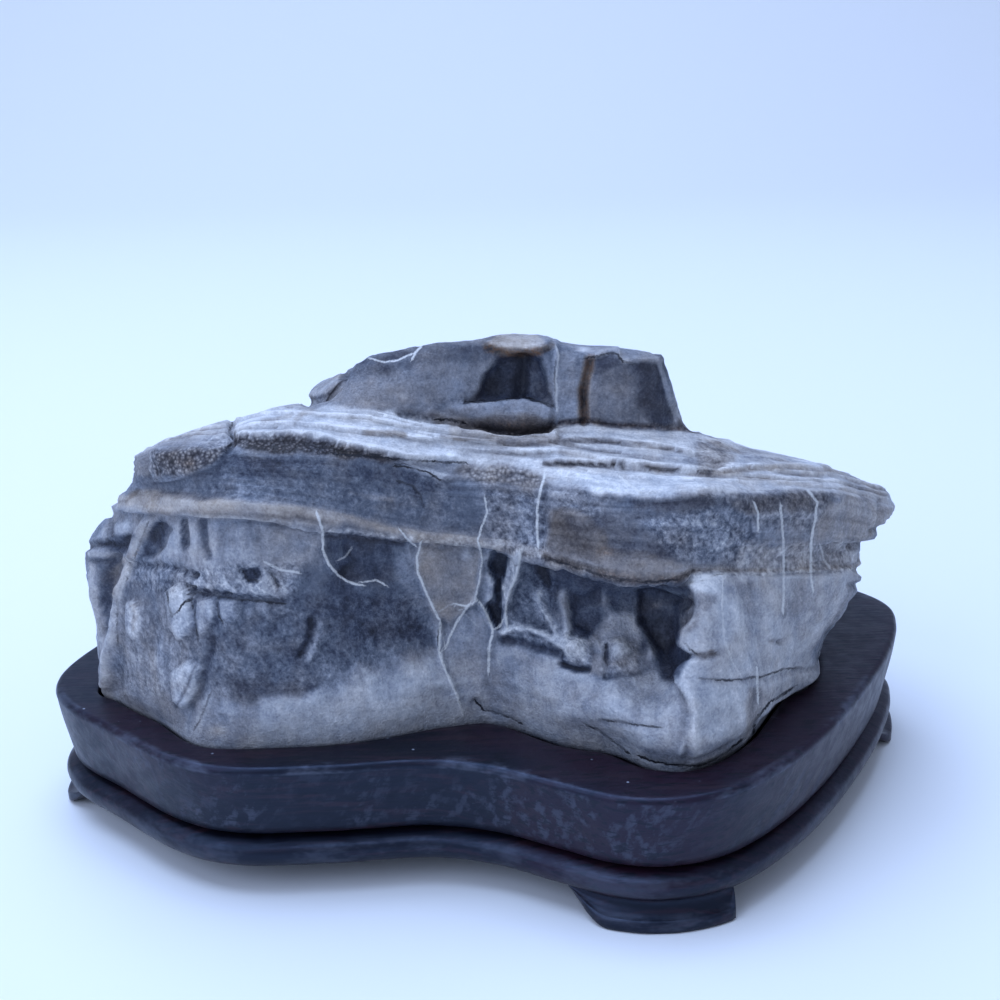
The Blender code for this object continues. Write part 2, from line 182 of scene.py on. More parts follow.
# rows of the body: inset and height
BODY_ROWS = [
    (1.15, 4.3), (0.80, 4.45), (0.52, 4.75), (0.30, 5.15), (0.16, 5.6), (0.10, 6.1), (0.14, 6.55),
    (0.28, 6.95), (0.52, 7.25), (0.85, 7.45), (1.4, 7.75), (2.0, 8.0), (2.7, 8.2), (3.2, 8.25),
    (3.4, 8.35), (3.4, 8.55), (3.3, 8.75), (2.9, 8.85), (2.1, 8.88), (1.75, 8.95), (1.58, 9.15),
    (1.40, 10.2), (1.15, 11.6), (0.85, 13.2), (0.55, 14.8), (0.30, 16.4), (0.12, 17.8),
    (0.02, 18.7), (0.0, 19.0), (0.06, 19.3), (0.20, 19.55), (0.40, 19.74), (0.65, 19.86),
    (0.95, 19.9),
]
STAND_COLUMNS = 560


def smooth_loop(points, steps):
    """Points along a smooth closed curve through the given ones, equal steps between each pair."""
    pts = np.array(points, float)
    before, after, beyond = np.roll(pts, 1, 0), np.roll(pts, -1, 0), np.roll(pts, -2, 0)
    t = (np.arange(steps) / steps)[None, :, None]
    slope_a, slope_b = (after - before)[:, None] / 2, (beyond - pts)[:, None] / 2
    curve = ((2 * t**3 - 3 * t**2 + 1) * pts[:, None] + (t**3 - 2 * t**2 + t) * slope_a
             + (3 * t**2 - 2 * t**3) * after[:, None] + (t**3 - t**2) * slope_b)
    return curve.reshape(-1, pts.shape[1])


def run_of(loop):
    """Distance run along a closed loop at each point, with the full length last."""
    step = np.linalg.norm(np.roll(loop, -1, 0) - loop, axis=1)
    return np.concatenate([[0], np.cumsum(step)])


def even_loop(loop, count):
    """The closed loop drawn again with evenly spaced points."""
    run, closed = run_of(loop), np.vstack([loop, loop[:1]])
    wanted = np.linspace(0, run[-1], count, endpoint=False)
    return np.stack([np.interp(wanted, run, closed[:, k]) for k in range(loop.shape[1])], 1)


def outward(loop):
    """Unit normals in the plane of a loop that runs anticlockwise from above."""
    along = np.roll(loop, -1, 0) - np.roll(loop, 1, 0)
    normal = np.stack([along[:, 1], -along[:, 0]], 1)
    return normal / np.linalg.norm(normal, axis=1)[:, None]


def foot_share(loop):
    """1 over a foot's pad, 0 clear of the feet, with an S-shaped sweep between."""
    run = run_of(loop)
    whole, run = run[-1], run[:-1]
    share = np.zeros(len(loop))
    for corner, pad_before, pad_after, tail_before, tail_after in FEET:
        middle = run[np.argmin(np.linalg.norm(loop - np.array(corner), axis=1))]
        away = (run - middle + whole / 2) % whole - whole / 2
        rise = np.interp(away, (-pad_before - tail_before, -pad_before, pad_after,
                                pad_after + tail_after), (0, 1, 1, 0))
        share = np.maximum(share, rise)
    return share**2 * (3 - 2 * share)


def net(name, grid, low_pole, high_pole, marks):
    """A closed skin: a flat net rolled up so that grid[row, column] holds its points from the
    lowest row up, drawn together to a pole at each end, with float marks of the same shape."""
    rows, columns = grid.shape[:2]
    bm = bmesh.new()
    bmesh.ops.create_grid(bm, x_segments=columns, y_segments=rows + 1, size=1)
    mesh = bpy.data.meshes.new(name)
    bm.to_mesh(mesh)
    flat = np.empty(len(mesh.vertices) * 3)
    mesh.vertices.foreach_get("co", flat)
    flat = (flat.reshape(-1, 3) + 1) / 2
    turn = np.rint(flat[:, 0] * columns).astype(int) % columns
    up = np.rint(flat[:, 1] * (rows + 1)).astype(int) - 1
    inside = np.clip(up, 0, rows - 1)
    place = grid[inside, turn].copy()
    place[up < 0] = low_pole
    place[up >= rows] = high_pole
    mesh.vertices.foreach_set("co", (place * MM).ravel())
    for mark, values in marks.items():
        layer = mesh.attributes.new(mark, "FLOAT", "POINT")
        layer.data.foreach_set("value", values[inside, turn].astype(np.float32))
    bm.clear()
    bm.from_mesh(mesh)
    bmesh.ops.remove_doubles(bm, verts=bm.verts, dist=1e-8)
    bmesh.ops.recalc_face_normals(bm, faces=bm.faces)
    bm.to_mesh(mesh)
    bm.free()
    mesh.shade_smooth()
    piece = bpy.data.objects.new(name, mesh)
    bpy.context.scene.collection.objects.link(piece)
    return piece


def lattice(cells, seed):
    """Pseudo-random values from -1 to 1 at whole-number places."""
    h = (cells[..., 0] * 73856093) ^ (cells[..., 1] * 19349663) ^ (cells[..., 2] * 83492791)
    h = (h + seed * 2654435761) & 0xFFFFFFFF
    h = ((h ^ (h >> 15)) * 2246822519) & 0xFFFFFFFF
    h = ((h ^ (h >> 13)) * 3266489917) & 0xFFFFFFFF
    return ((h ^ (h >> 16)) & 0xFFFF) / 32767.5 - 1


def ripple(places, size, seed, octaves=1):
    """Smooth noise from about -1 to 1 at places in mm, with lumps of about the given size."""
    total, scale, weight = 0.0, 1.0 / np.asarray(size, float), 1.0
    for octave in range(octaves):
        q = places * scale
        cell = np.floor(q).astype(np.int64)
        f = q - cell
        f = f * f * f * (f * (f * 6 - 15) + 10)
        value = 0.0
        for dx in (0, 1):
            for dy in (0, 1):
                for dz in (0, 1):
                    w = ((f[..., 0] if dx else 1 - f[..., 0]) * (f[..., 1] if dy else 1 - f[..., 1])
                         * (f[..., 2] if dz else 1 - f[..., 2]))
                    value = value + w * lattice(cell + np.array([dx, dy, dz]), seed + octave)
        total = total + weight * value
        scale, weight = scale * 2.03, weight * 0.5
    return total


# rings of the stone's foot, which the seat follows with room all round, most at the front
STONE_FOOT = [
    (-57, -22), (-53.5, -28.5), (-46.5, -35), (-39.5, -42), (-30, -43), (-18, -42), (-5.5, -38),
    (1.5, -37.5), (10, -43.3), (16.5, -46), (21.5, -50.5), (27.5, -51), (34.5, -45), (41.5, -33),
    (47.3, -27), (49.8, -10), (47.5, 5), (38, 17), (25.5, 28.5), (12, 40), (-3, 48.5),
    (-18, 44.5), (-32, 26), (-46, 3),
]
SEAT_GAP = 0.8
SEAT_FRONT_GAP = 1.3
edge = even_loop(smooth_loop(STAND_OUTLINE, 40), STAND_COLUMNS)
normal = outward(edge)
share = foot_share(edge)
# each row's share of rubbed wear and painted highlight along the wood's edges
rows, wear_and_highlight = [], []
for reach in (40.0, 24.0, 14.0):
    rows.append(np.column_stack([edge * (1 - reach / 60.0), np.full(STAND_COLUMNS, UNDERSIDE)]))
    wear_and_highlight.append(0.0)
for at_foot, between, depth in FOOT_ROWS:
    inset = between + (at_foot - between) * share
    rows.append(np.column_stack([edge - normal * inset[:, None], UNDERSIDE * (1 - depth * share)]))
    wear_and_highlight.append(0.6 if 0.5 < depth < 0.9 else 0.0)
for inset, height in BODY_ROWS:
    rows.append(np.column_stack([edge - normal * inset, np.full(STAND_COLUMNS, height)]))
    wear_and_highlight.append(1.0 if height > 18.9 else 0.5 if 4.9 < height < 7.5 else 0.0)
seat = even_loop(smooth_loop(STONE_FOOT, 20), STAND_COLUMNS)
front = np.exp(-(((seat[:, 0] - 13.0) / 14.0) ** 2)) * (seat[:, 1] < 0)
seat = seat + outward(seat) * (SEAT_GAP + SEAT_FRONT_GAP * front)[:, None]
# each column of the plan runs to the seat's nearest point in turn, never crossing its neighbours
near = np.array([np.argmin(np.linalg.norm(seat - p, axis=1)) for p in edge])
near = np.unwrap(near / STAND_COLUMNS * 2 * np.pi) / (2 * np.pi) * STAND_COLUMNS
near = np.maximum.accumulate(near)
ring = np.concatenate([near - STAND_COLUMNS, near, near + STAND_COLUMNS])
near = np.convolve(ring, np.ones(9) / 9, "same")[STAND_COLUMNS:2 * STAND_COLUMNS]
cell = np.floor(near).astype(int)
part = (near - cell)[:, None]
rim = seat[cell % STAND_COLUMNS] * (1 - part) + seat[(cell + 1) % STAND_COLUMNS] * part
inner = edge - normal * 0.95
for part in (0.12, 0.35, 0.65, 0.9):
    rows.append(np.column_stack([inner + (rim - inner) * part, np.full(STAND_COLUMNS, STAND_TOP)]))
    wear_and_highlight.append(0.0)
middle = rim.mean(0)
for inset, height in ((0.0, 19.9), (0.12, 19.85), (0.2, 19.7), (0.22, 18.6), (0.25, 17.5), (0.6,
                                                                                            SEAT_FLOOR)):
    rows.append(np.column_stack([rim + (middle - rim) * inset / 50.0, np.full(STAND_COLUMNS, height)]))
    wear_and_highlight.append(0.0)
for reach in (0.25, 0.6):
    rows.append(np.column_stack([rim + (middle - rim) * reach, np.full(STAND_COLUMNS, SEAT_FLOOR)]))
    wear_and_highlight.append(0.0)
grid = np.array(rows)
# hand carving leaves the wall and the mouldings slightly uneven, but the pads stay flat
uneven = ripple(grid, (9, 9, 30), 3) * 0.10 + ripple(grid, (3, 3, 4), 5) * 0.03
uneven *= ((grid[..., 2] > 5.0) & (grid[..., 2] < 19.0))
grid[..., :2] -= normal * (np.abs(uneven)[..., None])
grid = np.clip(grid, np.array(cad_low) / MM, np.array(cad_high) / MM)
wall = (grid[..., 2] > 9.2) & (grid[..., 2] < 19.2)
stand = net("wooden_stand", grid, (*edge.mean(0), UNDERSIDE), (*middle, SEAT_FLOOR),
            {"wear_and_highlight": np.repeat(np.array(wear_and_highlight)[:, None], STAND_COLUMNS, 1), "wall": wall * 1.0})

# what the builders of both finishes share: small steps that add nodes to the material at hand


def sums(operation, a, b, clamp=False):
    """One step of arithmetic on two values."""
    node = nodes.new("ShaderNodeMath")
    node.operation = operation
    node.use_clamp = clamp
    for socket, value in zip(node.inputs, (a, b)):
        if isinstance(value, (int, float)):
            socket.default_value = value
        else:
            links.new(value, socket)
    return node.outputs[0]


def between(value, low, high, floor=0.0, ceiling=1.0):
    """A value drawn from low..high to floor..ceiling, eased at both ends."""
    node = nodes.new("ShaderNodeMapRange")
    node.interpolation_type = "SMOOTHSTEP"
    for name, number in (("From Min", low), ("From Max", high), ("To Min", floor), ("To Max", ceiling)):
        node.inputs[name].default_value = number
    links.new(value, node.inputs["Value"])
    return node.outputs["Result"]


def blend(factor, under, over, mode="MIX"):
    """One colour laid over another."""
    node = nodes.new("ShaderNodeMix")
    node.data_type = "RGBA"
    node.blend_type = mode
    if isinstance(factor, (int, float)):
        node.inputs["Factor"].default_value = factor
    else:
        links.new(factor, node.inputs["Factor"])
    for socket, value in ((node.inputs["A"], under), (node.inputs["B"], over)):
        if isinstance(value, tuple):
            socket.default_value = (*value, 1)
        else:
            links.new(value, socket)
    return node.outputs["Result"]


def mark_value(name):
    """The value of one of the piece's own marks."""
    node = nodes.new("ShaderNodeAttribute")
    node.attribute_name = name
    return node.outputs["Fac"]


def surface_places():
    """Places on the piece, in metres."""
    return nodes.new("ShaderNodeTexCoord").outputs["Object"]


# grain: noise that both the wood and the stone show, in lumps per metre, centred on 0
grain_group = bpy.data.node_groups.new("grain", "ShaderNodeTree")
for name, kind in (("Vector", "NodeSocketVector"), ("Scale", "NodeSocketFloat"),
                   ("Detail", "NodeSocketFloat"), ("Coarseness", "NodeSocketFloat"),
                   ("Stretch", "NodeSocketVector"), ("Turn", "NodeSocketVector")):
    grain_group.interface.new_socket(name, in_out="INPUT", socket_type=kind)
grain_group.interface.new_socket("Value", in_out="OUTPUT", socket_type="NodeSocketFloat")
nodes, links = grain_group.nodes, grain_group.links
given, put_out = nodes.new("NodeGroupInput"), nodes.new("NodeGroupOutput")
turned = nodes.new("ShaderNodeMapping")
links.new(given.outputs["Vector"], turned.inputs["Vector"])
links.new(given.outputs["Turn"], turned.inputs["Rotation"])
stretched = nodes.new("ShaderNodeVectorMath")
stretched.operation = "MULTIPLY"
links.new(turned.outputs["Vector"], stretched.inputs[0])
links.new(given.outputs["Stretch"], stretched.inputs[1])
noise = nodes.new("ShaderNodeTexNoise")
links.new(stretched.outputs["Vector"], noise.inputs["Vector"])
for outer, inner in (("Scale", "Scale"), ("Detail", "Detail"), ("Coarseness", "Roughness")):
    links.new(given.outputs[outer], noise.inputs[inner])
links.new(sums("SUBTRACT", noise.outputs["Fac"], 0.5), put_out.inputs["Value"])


def grain(scale, detail=3.0, coarseness=0.6, stretch=(1, 1, 1), turn=(0, 0, 0), source=None):
    """Grain on the piece at hand, about -0.25 to 0.25."""
    node = nodes.new("ShaderNodeGroup")
    node.node_tree = grain_group
    node.inputs["Scale"].default_value = scale
    node.inputs["Detail"].default_value = detail
    node.inputs["Coarseness"].default_value = coarseness
    node.inputs["Stretch"].default_value = stretch
    node.inputs["Turn"].default_value = [math.radians(angle) for angle in turn]
    links.new(source or surface_places(), node.inputs["Vector"])
    return node.outputs["Value"]


wood = bpy.data.materials.new("dark_hardwood")
wood.use_nodes = True
nodes, links = wood.node_tree.nodes, wood.node_tree.links
shader = nodes["Principled BSDF"]
shader.inputs["Specular IOR Level"].default_value = 0.45
shader.inputs["Specular Tint"].default_value = (0.50, 0.66, 1.0, 1)
height_of = nodes.new("ShaderNodeSeparateXYZ")
links.new(surface_places(), height_of.inputs[0])
on_top = between(height_of.outputs["Z"], 0.0192, 0.0198)
broad = grain(28, 4, 0.55, (0.6, 1, 1))
figure = grain(700, 4, 0.6, (0.07, 1, 1))
pores = grain(1500, 2, 0.5, (0.22, 1, 1))
colour = blend(between(broad, -0.06, 0.08), (0.0035, 0.0032, 0.0070), (0.0150, 0.0050, 0.0105))
colour = blend(between(figure, -0.02, 0.16), colour, (0.0190, 0.0085, 0.0125))
# sanding left the wall faintly frosted, in streaks that lean along it
sanded = grain(650, 4, 0.6, (1, 1, 0.14), (28, -24, 0))
frost = sums("MULTIPLY", between(sanded, -0.03, 0.15), mark_value("wall"))
frost = sums("MULTIPLY", frost, between(grain(60, 3, 0.6), -0.10, 0.12, 0.15, 1.0))
colour = blend(sums("MULTIPLY", frost, 0.75), colour, (0.055, 0.060, 0.085))
colour = blend(sums("MULTIPLY", between(pores, 0.03, 0.14), 0.7), colour, (0.0020, 0.0018, 0.0030))
# the polished edges are painted paler, unevenly along their length: a painted highlight along the top edge,
# the roll and the feet, together with some rubbed wear
rubbed_and_highlight = sums("MULTIPLY", mark_value("wear_and_highlight"), between(grain(240, 4, 0.7, (0.4, 0.4, 1)), -0.05, 0.15))
colour = blend(sums("MULTIPLY", rubbed_and_highlight, 0.55), colour, (0.10, 0.11, 0.145))
# dust lies on top in scattered specks, with a few short scratches among them
specks = nodes.new("ShaderNodeTexVoronoi")
specks.inputs["Scale"].default_value = 420
links.new(surface_places(), specks.inputs["Vector"])
dust = sums("MULTIPLY", between(specks.outputs["Distance"], 0.10, 0.055), on_top)
dust = sums("MULTIPLY", dust, between(grain(90, 3, 0.6), 0.02, 0.10))
colour = blend(sums("MULTIPLY", dust, 0.8), colour, (0.30, 0.33, 0.40))
scratches = grain(260, 1, 0.4, (0.13, 1, 1), (0, 0, 24))
scratched = sums("MULTIPLY", between(scratches, 0.215, 0.235), on_top)
colour = blend(sums("MULTIPLY", scratched, 0.6), colour, (0.20, 0.22, 0.27))
links.new(colour, shader.inputs["Base Color"])
dull = sums("ADD", between(grain(420, 4, 0.6), -0.15, 0.15, 0.34, 0.46), sums("MULTIPLY", frost, 0.10))
links.new(dull, shader.inputs["Roughness"])
carved = sums("ADD", sums("MULTIPLY", figure, 0.5), sums("MULTIPLY", pores, 0.6))
carved = sums("ADD", carved, sums("MULTIPLY", sanded, 0.5))
bump = nodes.new("ShaderNodeBump")
bump.inputs["Strength"].default_value = 0.35
bump.inputs["Distance"].default_value = 0.00018
links.new(carved, bump.inputs["Height"])
links.new(bump.outputs["Normal"], shader.inputs["Normal"])
stand.data.materials.append(wood)
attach(stand, "root")
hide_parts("stand")

# Stone: one natural piece of layered stone, a flat-topped cap over thin ledges, a dark middle
# band and a fluted lower body. Its skin runs over closed rings of 24 stations, the first 15 along
# the front from left to right, and the weathered relief is worked into that skin.
STONE_RINGS = [
    # where it meets the stand
    [(-57, -22, 19.9), (-53.5, -28.5, 19.9), (-46.5, -35, 19.9), (-39.5, -42, 19.9),
     (-30, -43, 19.9), (-18, -42, 19.9), (-5.5, -38, 19.9), (1.5, -37.5, 20.2), (10, -43.3, 20.3),
     (16.5, -46, 20.3), (21.5, -50.5, 19.9), (27.5, -51, 19.9), (34.5, -45, 19.9),
     (41.5, -33, 19.9), (47.3, -27, 19.9),
     (49.8, -10, 19.9), (47.5, 5, 19.9), (38, 17, 19.9), (25.5, 28.5, 19.9), (12, 40, 19.9),
     (-3, 48.5, 19.9), (-18, 44.5, 19.9), (-32, 26, 19.9), (-46, 3, 19.9)],
    # low on the body
    [(-56.8, -21, 22), (-53.7, -28.5, 23), (-43.5, -38.5, 25.5), (-35, -43, 27), (-25.5, -44, 27),
     (-14.5, -42, 26), (-4.5, -38, 25), (2, -38, 25), (9.5, -43.5, 25), (16, -48, 26.5),
     (21.5, -51.5, 25.5), (26.5, -52, 25), (34, -45.5, 24.5), (42, -34, 22.5), (47.5, -26, 21),
     (49.8, -9, 22.5), (48.5, 6, 23.5), (39.5, 18.5, 24), (27, 30, 24), (13, 41.5, 24), (-3.5, 50, 24),
     (-19, 46, 24), (-33.5, 27, 24), (-47, 3, 24)],
    # belly
    [(-58, -19, 29), (-52, -29.5, 32.5), (-42.5, -38.5, 35.5), (-33.5, -43, 36.5),
     (-24, -42.5, 35.5), (-14, -39.5, 33), (-5, -37, 31.5), (2, -37.5, 31.5), (10, -41, 31.5),
     (16.5, -44, 31), (23, -43.5, 30.5), (27.5, -49, 35.5), (36, -42, 31), (44, -32, 27),
     (48, -23, 23),
     (50.3, -8, 26), (49, 7, 27), (40.5, 19.5, 27.5), (27.5, 31, 28), (13.5, 42, 28), (-4, 50, 28),
     (-20, 46.5, 28), (-35, 27.5, 28.5), (-49, 3, 29)],
    # waist
    [(-58.5, -19, 40), (-48.5, -30.5, 42.5), (-40.5, -38, 45.5), (-32, -42.5, 47),
     (-23, -41.5, 45.5), (-13.5, -38.5, 42.5), (-5, -37, 41), (3, -36.5, 40), (10, -38, 38),
     (16.5, -39.5, 37), (23.5, -40.5, 36.5), (27.5, -46.5, 41.5), (36.5, -40.5, 37),
     (47, -31, 32.5), (52.5, -22, 30),
     (53.8, -8, 30), (51, 7.5, 30.5), (40.5, 20, 31.5), (27, 31, 32), (13, 41, 32), (-4, 48, 32),
     (-19.5, 45, 32.5), (-35.5, 27, 34), (-51.5, 2, 37)],
    # tucked in under the seam
    [(-53, -22, 47), (-46, -32, 49), (-39, -38.5, 51), (-30.5, -42, 52), (-22, -41, 50),
     (-13, -38.5, 47.5), (-4.5, -36.5, 45.5), (3.5, -37, 44.5), (10, -39.5, 43), (16.5, -41, 41.5),
     (23, -42, 40.5), (28, -45, 43.5), (36.5, -39.5, 41), (49, -29.5, 37), (53.5, -22, 33.5),
     (55.5, -7, 33), (51.5, 8, 33), (39.5, 20, 34), (26.5, 30.5, 34.5), (12.5, 39.5, 35),
     (-4, 46.5, 35), (-18.5, 43.5, 35.5), (-34, 25.5, 38), (-49.5, 1.5, 42)],
    # the seam's ridge
    [(-51.5, -25, 49.5), (-45, -33, 52.5), (-37.5, -40, 54), (-30, -43.5, 54.5),
     (-21.5, -42.5, 52.5), (-12.5, -40, 49.5), (-4.5, -38, 47.5), (3.5, -38.5, 46.5),
     (10, -42, 45.5), (16, -45, 44.5), (22.5, -46.5, 44.5), (28, -45, 45), (37, -39, 42),
     (48.5, -30, 38.5), (54, -22, 35),
     (57, -7, 34.5), (53, 9, 34.5), (41, 21, 35.5), (28, 32, 36), (13, 41, 36.5), (-4, 47.5, 37),
     (-19, 44.5, 37.5), (-34.5, 26, 40), (-49, 1, 44)],
    # just above the seam
    [(-50.5, -25.5, 50.5), (-44, -33, 53.5), (-37, -39, 55.5), (-29.5, -42.5, 56),
     (-21, -41.5, 54), (-12.5, -39, 51), (-4.5, -37.5, 48.5), (3.5, -38, 48), (10, -41.5, 48),
     (16, -45, 48), (22.5, -47, 48), (28, -45.5, 47), (36.5, -39.5, 44), (48, -30, 40.5),
     (54, -22, 36.5),
     (57, -7, 35.5), (53, 9, 35.5), (41, 20.5, 36.5), (27.5, 31, 37.2), (13, 39.5, 38),
     (-4, 46, 38.5), (-18.5, 43, 39), (-34, 25, 41.5), (-48, 1, 45.5)],
    # middle band
    [(-48.5, -27, 53.2), (-43.5, -34, 56.5), (-37, -38.5, 58), (-29, -41, 58), (-21, -40.5, 57),
     (-12, -38.5, 54.5), (-4.5, -37.5, 52.5), (3.5, -38, 52), (10, -41, 51.5), (16.5, -44.5, 52),
     (22.5, -46.5, 52), (28, -45.5, 51.5), (37, -40, 48.5), (47.5, -31.5, 45), (57, -20, 39),
     (59.5, -6, 37.5), (54.5, 9, 37), (41, 19.5, 38.5), (27, 29, 39.5), (12.5, 36.5, 40.5),
     (-4, 42, 41.5), (-17.5, 39, 41.5), (-32.5, 22, 43.5), (-46.5, 0, 48)],
    # brow, where the front turns over
    [(-48, -27, 56), (-43, -34, 59.5), (-36.5, -37.5, 61), (-29, -39.5, 60.5), (-21, -39, 60),
     (-12, -37.5, 58.5), (-4.5, -36.5, 55.5), (3.5, -37, 55), (10, -40, 55), (16.5, -43, 55),
     (22.5, -44.5, 55.5), (28.5, -44.5, 55.5), (37, -39.5, 52.5), (47, -31.5, 49.5),
     (59.5, -17, 41),
     (60.5, -4.5, 39.5), (54, 8.5, 38), (40, 18, 40), (26, 26.5, 42), (12, 33, 43.5),
     (-4, 38, 44.5), (-16.5, 35, 44), (-31, 19.5, 45), (-45, -1, 49.5)],
    # shoulder
    [(-47.5, -25, 56), (-42, -30, 60), (-36, -33, 61), (-29, -34.5, 62.5), (-21, -34.5, 62),
     (-12, -34, 60.5), (-4.5, -33.5, 58.5), (3.5, -34, 57.5), (10.5, -36, 57), (16.5, -38.5, 56.5),
     (23, -40, 56), (29, -39.5, 55.5), (37.5, -35.5, 53.5), (48.5, -27, 50), (60.8, -13.5, 41.8),
     (59.5, -5, 41), (52, 7, 38.5), (39, 15.5, 40.5), (25, 22, 42.5), (12, 28, 44.5),
     (-3.5, 31.5, 45.5), (-15, 28, 45), (-29, 14, 46.5), (-42.5, -3, 50.5)],
    # terrace below the cap
    [(-42, -21, 57.5), (-37, -24, 60), (-32.5, -27.5, 61.5), (-27.5, -30, 63.5),
     (-20, -31.5, 63.5), (-13, -32, 62.5), (-4, -32, 61), (3.5, -32, 59.5), (10, -32.5, 59),
     (17, -33.5, 58), (23.5, -34.5, 57.5), (29, -34, 56.5), (37, -30, 54.5), (47, -22, 50.5),
     (57, -12, 45),
     (53.5, -4, 43.5), (46, 4, 42), (35, 11, 43.5), (23, 16, 45.5), (10.5, 20, 47.5),
     (-3, 22, 48.5), (-13, 19, 49), (-25, 8, 50.5), (-36, -5, 53.5)],
    # foot of the cap
    [(-25.5, -22, 62), (-24, -25, 62.5), (-22, -27, 63), (-18.5, -28.5, 63), (-14.5, -29.5, 63),
     (-9, -30, 62), (-4, -30, 61.5), (2.5, -30.5, 60), (8.5, -30.5, 60), (13.5, -30, 60.5),
     (18.5, -30, 60), (23, -29.5, 59.5), (26, -28, 58.5), (28.5, -25.5, 58), (30.5, -22, 56.5),
     (31.5, -17, 54.5), (31, -10, 52), (27, -2, 51.5), (20, 4, 51.5), (11, 8.5, 52), (0, 10, 53),
     (-11, 8, 54), (-20, 1, 55), (-26.5, -10, 58)],
    # the cap's wall
    [(-23, -22, 63), (-21.5, -24, 63.5), (-19.5, -26, 64.5), (-16.5, -27.5, 65.5),
     (-13, -28.5, 66), (-8, -29, 66.5), (-3.5, -28.5, 66), (2.5, -27, 65), (8, -27.5, 65),
     (13.5, -29, 65.5), (19, -29.5, 65.5), (22.5, -29, 65), (25, -27, 64), (26, -25, 63),
     (27, -21, 60.5),
     (28.5, -16, 57), (28, -9.5, 56), (24.5, -3, 57), (18, 2, 58), (10, 6, 59), (0, 7, 59.5),
     (-9.5, 5, 59.5), (-17.5, -1, 59), (-24, -11, 61.8)],
    # the cap's rim
    [(-19, -21, 66), (-18, -22.5, 67), (-16.5, -24, 68.5), (-14.5, -25.5, 69.5), (-12, -26.5, 70),
     (-8, -27, 70.5), (-3.5, -27, 71), (3, -26.5, 71), (8, -27, 70.5), (13.5, -28, 69.5),
     (19, -28.5, 69.5), (22, -28, 69), (23.5, -26.5, 68.5), (24.5, -24, 67.5), (25.5, -20, 64.5),
     (26, -15, 62), (25, -9.5, 62), (21.5, -4.5, 62.5), (16, -0.5, 63), (9, 2, 63), (0.5, 3, 63),
     (-7.5, 1.5, 63), (-13.5, -4, 63), (-18, -13, 65)],
    # the cap's top
    [(-16, -19, 67.3), (-15, -20.5, 68), (-14, -21.5, 68.4), (-12, -22.5, 69), (-10, -23, 69.6),
     (-7, -23.5, 70.2), (-3, -23.5, 70.8), (3, -23, 71.4), (8, -23, 70.9), (13, -23.5, 69.6),
     (18, -23.5, 69.3), (20.5, -23, 68.9), (22, -22, 68.2), (23, -20.5, 67.5), (24, -18.5, 66.3),
     (23.5, -15.5, 65.5), (22, -12, 64.5), (18.5, -9, 64), (14, -6.5, 64.3), (8, -5, 65),
     (1.5, -4.5, 65), (-4.5, -5.5, 65), (-10, -9, 65), (-14.5, -14.5, 66.8)],
]
STONE_CROWN = (4.0, -15.0, 68.8)
SOLE = 17.7
FRONT_COLUMNS = 320
BACK_COLUMNS = 140
# rows of the skin between one ring and the next, closest where the stone is stepped
SKIN_ROWS = [14, 22, 26, 14, 5, 6, 12, 12, 12, 14, 14, 14, 14, 5]

stations = len(STONE_RINGS[0])
FRONT_STATIONS = 14
column = np.concatenate([np.linspace(0, FRONT_STATIONS, FRONT_COLUMNS, endpoint=False),
                         np.linspace(FRONT_STATIONS, stations, BACK_COLUMNS, endpoint=False)])


def curve_weights(t):
    """Weights of the four given points that a smooth curve passes, t of the way from the second."""
    return np.stack([(-t**3 + 2 * t**2 - t) / 2, (3 * t**3 - 5 * t**2 + 2) / 2,
                     (-3 * t**3 + 4 * t**2 + t) / 2, (t**3 - t**2) / 2])


def round_ring(ring):
    """A closed ring drawn smooth at the columns' stations."""
    pts = np.array(ring, float)
    start = np.floor(column).astype(int)
    weights = curve_weights(column - start)
    return sum(weights[k][:, None] * pts[(start + k - 1) % stations] for k in range(4))


cage = [round_ring(ring) for ring in STONE_RINGS]
foot = cage[0]
foot_normal = outward(foot[:, :2])
skin, level_of = [], []
for inset, height, at in ((12.0, SOLE, -3.0), (4.0, SOLE, -2.0), (1.6, SOLE, -1.6),
                          (0.7, SOLE + 0.5, -1.0), (0.2, SOLE + 1.3, -0.5)):
    skin.append(np.column_stack([foot[:, :2] - foot_normal * inset, np.full(len(foot), height)]))
    level_of.append(at)
for k, count in enumerate(SKIN_ROWS):
    below = cage[k - 1] if k else foot * 2 - cage[1]
    above = cage[min(k + 2, len(cage) - 1)]
    for t in np.arange(count) / count:
        w = curve_weights(t)
        skin.append(below * w[0] + cage[k] * w[1] + cage[k + 1] * w[2] + above * w[3])
        level_of.append(k + t)
crown = np.array(STONE_CROWN)
for t in (1.0, 0.85, 0.7, 0.5, 0.3, 0.15):
    skin.append(crown + (cage[-1] - crown) * t)
    level_of.append(14.0 + (1 - t))
skin = np.array(skin)
layer = np.repeat(np.array(level_of)[:, None], skin.shape[1], 1)
station = np.repeat(column[None], skin.shape[0], 0)
FOCAL = 1500.0


def seen(places):
    """Where points show on a plane that faces the stone's front, 1000 units across and down."""
    from_eye = places - np.array(EYE_MM)
    ahead = from_eye[..., 1] * math.cos(LOOK_DOWN) - from_eye[..., 2] * math.sin(LOOK_DOWN)
    up = from_eye[..., 1] * math.sin(LOOK_DOWN) + from_eye[..., 2] * math.cos(LOOK_DOWN)
    across, up = from_eye[..., 0] / ahead, up / ahead
    lean_cos, lean_sin = math.cos(CAMERA_ROLL), math.sin(CAMERA_ROLL)
    return np.stack([500 + FOCAL * (across * lean_cos + up * lean_sin),
                     500 - FOCAL * (up * lean_cos - across * lean_sin)], -1)


face = seen(skin)
wander = np.stack([ripple(skin, 3.0, 11, 3), ripple(skin, 3.0, 21, 3)], -1)
facing = np.minimum(np.interp(station, (14.6, 16.6), (1, 0)), 1.0)
facing = np.maximum(facing, np.interp(station, (21.6, 23.4), (0, 1)))


